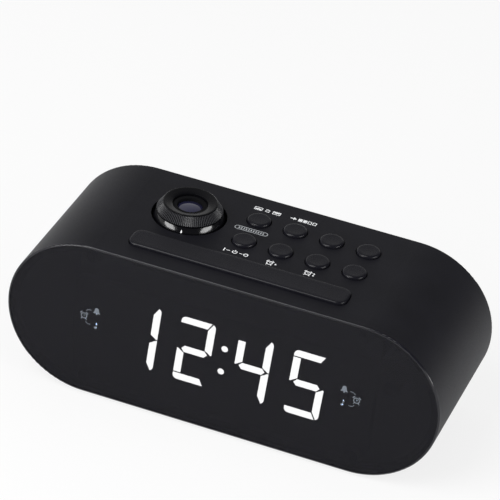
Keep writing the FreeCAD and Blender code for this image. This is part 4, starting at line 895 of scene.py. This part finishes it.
@dataclass(frozen=True)
class FlatMark:
    """A pictogram at its place, with a size in millimetres and a print's thickness."""

    sign: Sign
    size: float
    place: Matrix
    thickness: float = 0.03 * MM

    def drawn(self, points: Outline) -> Thing:
        """Draw a filled outline as a flat curve and make it a mesh.

        Args:
            points: The outline, at a size of 1.

        Returns:
            The mesh, flat about the origin.
        """
        curve = bpy.data.curves.new("outline", "CURVE")
        curve.dimensions = "2D"
        curve.fill_mode = "BOTH"
        line = curve.splines.new("POLY")
        line.points.add(len(points) - 1)
        for spot, (x, y) in zip(line.points, points):
            spot.co = (x * self.size * MM, y * self.size * MM, 0, 1)
        line.use_cyclic_u = True
        thing = bpy.data.objects.new("outline", curve)
        bpy.context.scene.collection.objects.link(thing)
        pick([thing])
        bpy.ops.object.convert(target="MESH")
        return bpy.context.view_layer.objects.active

    def build(self) -> Thing:
        """Draw the mark, thicken it and put it in its place.

        Returns:
            The mark, as a mesh.
        """
        flat = merged([self.drawn(points) for points in self.sign.value], self.sign.name.lower())
        solid = modified(
            flat, "SOLIDIFY", thickness=self.thickness, offset=1.0, use_even_offset=True
        )
        solid.data.transform(self.place)
        return solid


def printed(name: str, body: str, finish: Finish, marks: Sequence[FlatMark]) -> None:
    """Make some marks as one piece that rides on a body.

    Args:
        name: The piece's name.
        body: The body that carries it.
        finish: Its looks.
        marks: The marks.
    """
    carried(merged([mark.build() for mark in marks], name), body, finish)
    log.info("made %s of %d marks", name, len(marks))


# Sub-assemblies


@dataclass
class CarriedNodes:
    """Solids that keep their own shape and get a finish."""

    def build(self) -> None:
        """Give each solid the finish of its slot in the record."""
        slots = {row["node"]: row["material_slot"] for row in frame["record"]["subparts"]}
        for name, thing in frame["nodes"].items():
            Finish[slots[name]].paint(thing)
            log.info("dressed %s", name)


@dataclass
class Pushed:
    """Heights that the buttons and the snooze bar share: stem, flange under the deck, and cap."""

    foot: float = 62.9 * MM
    flange_low: float = 65.5 * MM
    flange_high: float = 66.5 * MM
    top: float = 70.4 * MM
    stem_radius: float = 2.0 * MM
    edge_steps: int = 5

    def raise_cap(
        self, key: Thing, inset: float, edge_round: float, dish: Sequence[Point]
    ) -> None:
        """Draw the cap out of the flange, round its edge and press its top in.

        Args:
            key: The flange.
            inset: How far the cap stands in from the flange's edge.
            edge_round: Radius of the cap's upper edge.
            dish: Width and depth of each step of the hollow in the top, from the edge.
        """
        with editing(key, Pick.FACE, lambda spot, way: way.z > 0.9):
            bpy.ops.mesh.inset(thickness=inset)
            pull((0, 0, self.top - self.flange_high))
        rim = self.top - NEAR
        rounded(key, edge_round, self.edge_steps, lambda spot, way: spot.z > rim)
        with editing(key, Pick.FACE, lambda spot, way: way.z > 0.99 and spot.z > rim):
            for wide, deep in dish:
                bpy.ops.mesh.inset(thickness=wide, depth=-deep)


@dataclass
class RoundButton(Pushed):
    """A round button with a soft edge and a slightly hollow top."""

    cap_radius: float = 4.75 * MM
    flange_radius: float = 6.0 * MM
    edge_round: float = 0.85 * MM
    dish_depth: float = 0.1 * MM
    dish_steps: tuple[float, ...] = (0.25, 0.35, 0.5)
    sides: int = 72

    def build(self, x: float, y: float) -> Thing:
        """Model the button.

        Args:
            x: Middle of the button, sideways.
            y: Middle of the button, front to back.

        Returns:
            The finished button.
        """
        deselect()
        bpy.ops.mesh.primitive_cylinder_add(
            vertices=self.sides,
            radius=self.flange_radius,
            depth=self.flange_high - self.flange_low,
            location=(x, y, (self.flange_high + self.flange_low) / 2),
        )
        button = named("button")
        dish = [(self.cap_radius * part / 2, self.dish_depth * part) for part in self.dish_steps]
        self.raise_cap(button, self.flange_radius - self.cap_radius, self.edge_round, dish)
        with editing(button, Pick.FACE, lambda spot, way: way.z < -0.9):
            bpy.ops.mesh.inset(thickness=self.flange_radius - self.stem_radius)
            pull((0, 0, self.foot - self.flange_low))
        return settled(button)


@dataclass
class Keys:
    """Two rows of four round buttons, each on a body of its own."""

    columns: tuple[float, ...] = (-5.9, 9.4, 24.7, 40.0)
    back_row: float = 16.0
    front_row: float = -0.5
    back_names: tuple[str, ...] = ("flip", "memory", "up", "down")
    front_names: tuple[str, ...] = ("projection", "alarm_one", "alarm_two", "light")

    def build(self) -> None:
        """Model one button and copy it to the other seven places."""
        first = RoundButton().build(self.columns[0] * MM, self.back_row * MM)
        for row, names in ((self.back_row, self.back_names), (self.front_row, self.front_names)):
            for column, name in zip(self.columns, names):
                shift = ((column - self.columns[0]) * MM, (row - self.back_row) * MM, 0)
                cap = copied(first, f"{name}_cap", shift)
                carried(cap, f"{name}_key", Finish.key_black, [f"{name}_button"])
                log.info("modelled %s", cap.name)
        bpy.data.objects.remove(first)


@dataclass
class SnoozeBar(Pushed):
    """The long bar along the front of the deck, with its flange and two stems."""

    x: float = -0.8 * MM
    y: float = -19.0 * MM
    length: float = 89.8 * MM
    width: float = 11.2 * MM
    corner: float = 3.8 * MM
    corner_steps: int = 12
    flange: float = 1.25 * MM
    edge_round: float = 0.7 * MM
    dish: tuple[Point, ...] = ((1.2 * MM, 0.04 * MM), (1.6 * MM, 0.03 * MM))
    stem_reach: float = 31.0 * MM
    stem_chamfer: float = 0.3 * MM
    stem_sides: int = 32

    def build(self) -> None:
        """Model the bar from a flat block."""
        deselect()
        bpy.ops.mesh.primitive_cube_add(
            size=1,
            location=(self.x, self.y, (self.flange_low + self.flange_high) / 2),
            scale=(
                self.length + 2 * self.flange,
                self.width + 2 * self.flange,
                self.flange_high - self.flange_low,
            ),
        )
        cap = named("snooze_cap")
        radius = self.corner + self.flange
        rounded(cap, radius, self.corner_steps, lambda spot, way: abs(way.z) > NEAR)
        self.raise_cap(cap, self.flange, self.edge_round, self.dish)
        whole = merged([settled(cap), *self.stems()], "snooze_cap")
        carried(whole, "snooze", Finish.key_black, ["snooze_bar"])
        log.info("modelled the snooze bar")

    def stems(self) -> list[Thing]:
        """Model the stems under the bar, with a small chamfer at the foot.

        Returns:
            The two stems.
        """
        made = []
        for side in (-1, 1):
            deselect()
            bpy.ops.mesh.primitive_cylinder_add(
                vertices=self.stem_sides,
                radius=self.stem_radius,
                depth=self.flange_low - self.foot,
                location=(
                    self.x + side * self.stem_reach,
                    self.y,
                    (self.flange_low + self.foot) / 2,
                ),
            )
            stem = named("stem")
            rounded(stem, self.stem_chamfer, 1, lambda spot, way: spot.z < self.foot + NEAR)
            made.append(settled(stem))
        return made


@dataclass
class FocusWheel:
    """Ribbed focus wheel, turned ring by ring about the projector's upright axis."""

    x: float = -32.0
    y: float = 7.0
    ribs: int = 100
    rib_depth: float = 0.3
    rings: tuple[tuple[float, float], ...] = (
        (9.9, 71.4),
        (12.95, 71.4),
        (13.25, 71.55),
        (13.25, 71.8),
        (13.15, 71.9),
        (11.0, 75.0),
        (10.85, 75.2),
        (10.6, 75.36),
        (10.3, 75.4),
        (9.9, 75.33),
        (8.6, 74.95),
        (7.5, 74.7),
        (7.1, 74.45),
        (7.1, 73.4),
        (9.9, 73.4),
        (9.9, 71.4),
    )
    ribbed: tuple[int, int] = (4, 5)
    slack: float = 0.05
    crease: float = 22.0

    def build(self) -> None:
        """Extrude the rings, press the ribs in and finish the wheel."""
        deselect()
        radius, height = self.rings[0]
        bpy.ops.mesh.primitive_circle_add(
            vertices=2 * self.ribs,
            radius=radius * MM,
            location=(self.x * MM, self.y * MM, height * MM),
        )
        wheel = named("focus_grip")
        with editing(wheel, Pick.EDGE, lambda spot, way: True):
            for wide, high in self.rings[1:]:
                pull((0, 0, (high - height) * MM))
                if wide != radius:
                    self.scale_about_axis(wide / radius, high)
                radius, height = wide, high
        self.press_ribs(wheel)
        settled(wheel, self.crease)
        carried(wheel, "focus", Finish.wheel_black, ["focus_wheel"])
        log.info("turned the focus wheel with %d ribs", self.ribs)

    def scale_about_axis(self, share: float, height: float) -> None:
        """Scale what is selected about the wheel's axis, at a height in millimetres."""
        centre = (self.x * MM, self.y * MM, height * MM)
        bpy.ops.transform.resize(value=(share, share, 1), center_override=centre)

    def step_at(self, spot: Vector) -> int | None:
        """A point's number round a ribbed ring, even on a crest and odd in a valley.

        Args:
            spot: The point.

        Returns:
            The number, or nothing where the point isn't on a ribbed ring.
        """
        across, along = spot.x / MM - self.x, spot.y / MM - self.y
        reach = math.hypot(across, along)
        for wide, high in (self.rings[index] for index in self.ribbed):
            if abs(spot.z / MM - high) < self.slack and abs(reach - wide) < self.slack:
                return round(math.atan2(along, across) / math.tau * 2 * self.ribs)
        return None

    def press_ribs(self, wheel: Thing) -> None:
        """Pull the valleys of the ribbed rings towards the axis, and mark the crests for the
        painted highlight.

        Args:
            wheel: The wheel with its rings.
        """
        # Mask of the painted highlight: 1 on the crests and 0 everywhere else.
        highlight_mask = wheel.data.attributes.new(HIGHLIGHT_ATTRIBUTE, "FLOAT", "POINT")
        for vertex in wheel.data.vertices:
            step = self.step_at(vertex.co)
            highlight_mask.data[vertex.index].value = float(step is not None and step % 2 == 0)
        wide, high = self.rings[self.ribbed[0]]
        with editing(wheel, Pick.VERTEX, lambda spot, way: (self.step_at(spot) or 0) % 2 == 1):
            self.scale_about_axis(1 - self.rib_depth / wide, high)


@dataclass
class CoverScrews:
    """Four screws in the rear cover, with rounded heads and crossed recesses."""

    reach: float = 56.0 * MM
    low: float = 6.6 * MM
    high: float = 63.8 * MM
    seat: float = 31.3 * MM
    sides: int = 40
    head_radius: float = 2.3 * MM
    head_height: float = 1.2 * MM
    shank_radius: float = 1.2 * MM
    shank_length: float = 8.0 * MM
    edge_round: float = 0.5 * MM
    edge_steps: int = 4
    tip_length: float = 1.0 * MM
    tip_share: float = 0.55
    recess: float = 0.8 * MM
    arm: tuple[float, float] = (0.55 * MM, 2.7 * MM)
    arm_share: float = 0.6

    def build(self) -> None:
        """Model one screw, cut its recess and copy it to the other corners."""
        head, cutter = self.head(), self.cutter()
        first = settled(self.combined(head, cutter, "DIFFERENCE"))
        screws = [
            copied(first, f"screw_{side}_{rise}", (dx, 0, dz))
            for side, dx in (("left", 0.0), ("right", 2 * self.reach))
            for rise, dz in (("low", 0.0), ("high", self.high - self.low))
        ]
        bpy.data.objects.remove(first)
        whole = merged(screws, "cover_screw_heads")
        carried(whole, "case", Finish.screw_zinc, ["rear_cover_screws"])
        log.info("modelled the cover screws")

    def combined(self, thing: Thing, other: Thing, operation: str) -> Thing:
        """Add or cut a second shape, which is used up.

        Args:
            thing: The shape that stays.
            other: The second shape.
            operation: Blender's name for what is done.

        Returns:
            The shape that stays.
        """
        modified(thing, "BOOLEAN", operation=operation, solver="EXACT", object=other)
        bpy.data.objects.remove(other)
        return thing

    def taper(self, share: float, depth: float) -> None:
        """Scale what is selected about the screw's axis."""
        tip = (-self.reach, depth, self.low)
        bpy.ops.transform.resize(value=(share, 1, share), center_override=tip)

    def head(self) -> Thing:
        """Model the head with its rounded edge, and the shank with its blunt tip.

        Returns:
            The screw, with no recess.
        """
        deselect()
        bpy.ops.mesh.primitive_cylinder_add(
            vertices=self.sides,
            radius=self.head_radius,
            depth=self.head_height,
            location=(-self.reach, self.seat + self.head_height / 2, self.low),
            rotation=(math.radians(-90), 0, 0),
        )
        screw = named("screw")
        face = self.seat + self.head_height
        rounded(screw, self.edge_round, self.edge_steps, lambda spot, way: spot.y > face - NEAR)
        with editing(screw, Pick.FACE, lambda spot, way: way.y < -0.9):
            bpy.ops.mesh.inset(thickness=self.head_radius - self.shank_radius)
            pull((0, self.tip_length - self.shank_length, 0))
            pull((0, -self.tip_length, 0))
            self.taper(self.tip_share, self.seat - self.shank_length)
        return settled(screw)

    def cutter(self) -> Thing:
        """Model a cross that tapers into the head.

        Returns:
            The shape of the recess.
        """
        face = self.seat + self.head_height
        arms = []
        for wide, high in (self.arm, self.arm[::-1]):
            deselect()
            bpy.ops.mesh.primitive_cube_add(
                size=1,
                location=(-self.reach, face, self.low),
                scale=(wide, 2 * self.recess, high),
            )
            arm = named("arm")
            with editing(arm, Pick.FACE, lambda spot, way: way.y < -0.9):
                self.taper(self.arm_share, face - self.recess)
            arms.append(arm)
        return self.combined(*arms, "UNION")


@dataclass
class DeckPrint:
    """White marks and a grey one, printed on the top of the case."""

    top: float = 69.2
    marks: tuple[tuple[Sign, float, float, float], ...] = (
        (Sign.TURN, -5.6, 24.8, 2.2),
        (Sign.STORE, 9.2, 24.8, 2.2),
        (Sign.POWER, -6.4, -9.3, 2.3),
        (Sign.CLOCK_DOT, 8.3, -9.8, 2.9),
        (Sign.CLOCK_DOTS, 23.9, -9.4, 2.9),
    )
    pill: tuple[Sign, float, float, float] = (Sign.PILL, -6.2, 8.2, 13.9)

    def build(self) -> None:
        """Print the white marks as one piece and the grey one as another."""
        white = [self.mark(*mark) for mark in self.marks]
        printed("deck_marks", "case", Finish.print_white, white)
        printed("pill", "case", Finish.print_grey, [self.mark(*self.pill)])

    def mark(self, sign: Sign, x: float, y: float, size: float) -> FlatMark:
        """One mark on the deck."""
        return FlatMark(sign, size, Side.TOP.at(x, y, self.top))


@dataclass
class FrontMarks:
    """Dim pictograms behind the window, either side of the digits."""

    depth: float = -30.78
    middle: float = 35.2
    marks: tuple[tuple[Sign, float, float, float, float], ...] = (
        (Sign.CLOCK, -58.4, -0.1, 3.1, 0),
        (Sign.BELL, -53.2, 3.4, 3.2, 0),
        (Sign.NOTE, -53.2, -3.3, 2.8, 0),
        (Sign.ARC, -56.6, 2.9, 2.6, 20),
        (Sign.ARC, -56.6, -3.1, 2.6, 160),
        (Sign.BELL, 50.4, 1.7, 3.2, 0),
        (Sign.NOTE, 50.3, -4.6, 2.8, 0),
        (Sign.CLOCK, 55.8, -1.9, 3.1, 0),
        (Sign.ARC, 54.0, 1.1, 2.6, -20),
        (Sign.ARC, 54.0, -4.9, 2.6, 200),
    )

    def build(self) -> None:
        """Make every mark as one piece."""
        made = [
            FlatMark(sign, size, Side.FRONT.at(x, self.depth, self.middle + z, tilt))
            for sign, x, z, size, tilt in self.marks
        ]
        printed("indicator_marks", "case", Finish.print_dim, made)


@dataclass
class BallPointer:
    """White pointer printed on the ball, under the focus wheel."""

    centre: tuple[float, float, float] = (-32.0, 7.0, 64.2)
    radius: float = 14.81
    around: float = 8.5
    up: float = 21.6
    size: float = 1.25

    def build(self) -> None:
        """Print the pointer so that it tilts and turns with the ball."""
        turn = math.radians(self.around)
        out = direction(self.around, self.up)
        side = Vector((math.cos(turn), math.sin(turn), 0))
        spot = (Vector(self.centre) + out * self.radius) * MM
        pointer = FlatMark(Sign.DROP, self.size, placed(spot, side, out.cross(side), out))
        printed("ball_pointer", "projector", Finish.print_white, [pointer])


@dataclass
class BackMarks:
    """Moulded marks on the back and the underside: contacts, aerial and the door's two stops."""

    back: float = 32.5
    under: float = 1.2
    door_face: float = 1.5
    door: tuple[float, float] = (20.0, 5.0)
    stop_reach: float = 15.2
    arrow_reach: float = 10.2
    relief: float = 0.12 * MM

    def build(self) -> None:
        """Mould the marks that stay with the case, and the arrow that turns with the door."""
        x, y = self.door
        grey = Finish.print_grey
        on_cover = [
            FlatMark(Sign.POLES, 3.2, Side.BACK.at(-22, self.back, 26), self.relief),
            FlatMark(Sign.AERIAL, 4.2, Side.BACK.at(-62, self.back, 38.5), self.relief),
        ]
        shut = Side.BELOW.at(x, y - self.stop_reach, self.under)
        opened = Side.BELOW.at(x + self.stop_reach, y, self.under)
        under = [
            FlatMark(Sign.SHUT, 1.8, shut, self.relief),
            FlatMark(Sign.OPEN, 2.0, opened, self.relief),
        ]
        place = Side.BELOW.at(x, y - self.arrow_reach, self.door_face)
        arrow = FlatMark(Sign.ARROW, 2.0, place, self.relief)
        printed("cover_print", "case", grey, on_cover)
        printed("moulded_marks", "case", grey, under)
        printed("door_arrow", "battery_door", grey, [arrow])


# Studio


@dataclass(frozen=True)
class SoftBox:
    """An oval lamp that looks at the clock, placed from the camera's side."""

    name: str
    around: float
    up: float
    distance: float
    wide: float
    high: float
    power: float


@dataclass
class Studio:
    """Pale floor, soft lamps and the camera at the photograph's angle.

    The sky's values for the ceiling and the room are its level at the near and the far end
    of a stretch, and then the two ends. The ceiling's stretch runs up, and the room's runs
    away from the camera.
    """

    azimuth: float = 17.6215
    elevation: float = 32.8972
    roll: float = 6.3326
    side: float = 0.2008 * MM
    rise: float = 26.397 * MM
    distance: float = 1239.50 * MM
    aim: float = 35.2 * MM
    lens: float = 225.75
    sensor: float = 36.0
    clip: tuple[float, float] = (0.05, 20.0)
    floor_size: float = 3.0
    floor_grey: float = 0.9
    floor_glow: float = 0.8
    mirrored_floor: float = 0.35
    sky: float = 0.45
    ceiling: tuple[float, float, float, float] = (0.6, 0.25, 0.1, 0.45)
    room: tuple[float, float, float, float] = (0.12, 1.25, -0.1, 0.8)
    room_turn: float = 35.0
    boxes: tuple[SoftBox, ...] = (
        SoftBox("top_box", -50.0, 50.0, 1.35, 0.9, 0.9, 10.0),
        SoftBox("left_strip", -61.0, 12.0, 1.05, 0.76, 0.24, 4.6),
        SoftBox("right_strip", 61.0, 12.0, 1.05, 0.8, 0.24, 4.8),
    )

    def build(self) -> None:
        """Set up everything that isn't the clock."""
        self.place_camera()
        self.lay_floor()
        self.light_world()
        self.hang_lamps()
        bpy.context.scene.view_settings.view_transform = "Standard"

    def place_camera(self) -> None:
        """Put the camera where the photograph was taken from."""
        roll = math.radians(self.roll)
        back = direction(self.azimuth, self.elevation)
        level = (-back).cross(Vector((0, 0, 1))).normalized()
        upright = level.cross(-back)
        right = math.cos(roll) * level + math.sin(roll) * upright
        up = -math.sin(roll) * level + math.cos(roll) * upright
        where = Vector((0, 0, self.aim)) - self.side * right + self.rise * up
        data = bpy.data.cameras.new("camera")
        data.lens = self.lens
        data.sensor_width = self.sensor
        data.clip_start, data.clip_end = self.clip
        camera = bpy.data.objects.new("camera", data)
        bpy.context.scene.collection.objects.link(camera)
        camera.matrix_world = placed(where + self.distance * back, right, up, back)
        bpy.context.scene.camera = camera

    def looking(self, graph: Graph, mirrored: float = 1.0) -> Socket:
        """Tell a ray that looks from one that only lights.

        Args:
            graph: The nodes to add to.
            mirrored: What a ray from a reflection counts as.

        Returns:
            1 for a ray from the camera or clear glass, and 0 for one from a dull surface.
        """
        share = graph.wire("LightPath", "Is Camera Ray", {})
        ray = share.node.outputs
        for name, weight in (("Is Glossy Ray", mirrored), ("Is Transmission Ray", 1.0)):
            share = graph.maths("MAXIMUM", share, graph.maths("MULTIPLY", ray[name], weight))
        return share

    def lay_floor(self) -> None:
        """A pale floor that keeps the clock's shadow and is clear from below."""
        deselect()
        bpy.ops.mesh.primitive_plane_add(size=self.floor_size, location=(0, 0, 0))
        floor = named("floor")
        bench = Bench("floor_white")
        grey = (self.floor_grey, self.floor_grey, self.floor_grey, 1)
        bench.set(Base__Color=grey, Roughness=0.9, Specular__IOR__Level=0.0)
        seen = self.looking(bench, self.mirrored_floor)
        share = bench.maths("MULTIPLY", seen, self.floor_glow)
        above = bench.mixed(share, bench.gloss, bench.wire("Emission", "Emission", {}))
        below = bench.wire("NewGeometry", "Backfacing", {})
        clear = bench.wire("BsdfTransparent", "BSDF", {})
        bench.feed(bench.surface, bench.mixed(below, above, clear))
        floor.data.materials.append(bench.material)

    def light_world(self) -> None:
        """A sky that is white to the camera, and a dark room in reflections."""
        world = bpy.data.worlds.new("studio")
        bpy.context.scene.world = world
        world.use_nodes = True
        graph = Graph(world.node_tree)
        sky = world.node_tree.nodes["Background"].inputs
        sky["Color"].default_value = (1, 1, 1, 1)
        level = graph.blend(self.looking(graph), self.sky, self.dark_room(graph))
        camera = graph.wire("LightPath", "Is Camera Ray", {})
        graph.feed(sky["Strength"], graph.maths("MAXIMUM", level, camera))

    def dark_room(self, graph: Graph) -> Socket:
        """Dim the sky overhead and behind the camera, as a dark room does.

        Args:
            graph: The world's nodes.

        Returns:
            The level of the sky.
        """
        turn = math.radians(self.azimuth + self.room_turn)
        way = graph.wire("TexCoord", "Generated", {})
        height = graph.wire("SeparateXYZ", "Z", {0: way})
        part = height.node.outputs
        across = graph.maths("MULTIPLY", part["X"], -math.sin(turn))
        along = graph.maths("MULTIPLY", part["Y"], math.cos(turn))
        ceiling = graph.span(height, *self.ceiling, "SMOOTHSTEP")
        room = graph.span(graph.maths("ADD", across, along), *self.room, "SMOOTHSTEP")
        return graph.maths("MULTIPLY", ceiling, room)

    def hang_lamps(self) -> None:
        """A soft box overhead, and a wide low one on either side of the camera."""
        for box in self.boxes:
            way = direction(self.azimuth + box.around, box.up)
            data = bpy.data.lights.new(box.name, "AREA")
            data.shape = "ELLIPSE"
            data.size, data.size_y = box.wide, box.high
            data.energy = box.power
            lamp = bpy.data.objects.new(box.name, data)
            bpy.context.scene.collection.objects.link(lamp)
            lamp.location = Vector((0, 0, self.aim)) + way * box.distance
            lamp.rotation_mode = "QUATERNION"
            lamp.rotation_quaternion = (-way).to_track_quat("-Z", "Y")
            lamp.visible_camera = False


def main() -> None:
    """Build the clock's looks in order."""
    logging.basicConfig(level=logging.INFO, format="%(name)s: %(message)s")
    CarriedNodes().build()
    Keys().build()
    SnoozeBar().build()
    FocusWheel().build()
    CoverScrews().build()
    DeckPrint().build()
    FrontMarks().build()
    BallPointer().build()
    BackMarks().build()
    Studio().build()
    deselect()


if __name__ == "__main__":
    main()
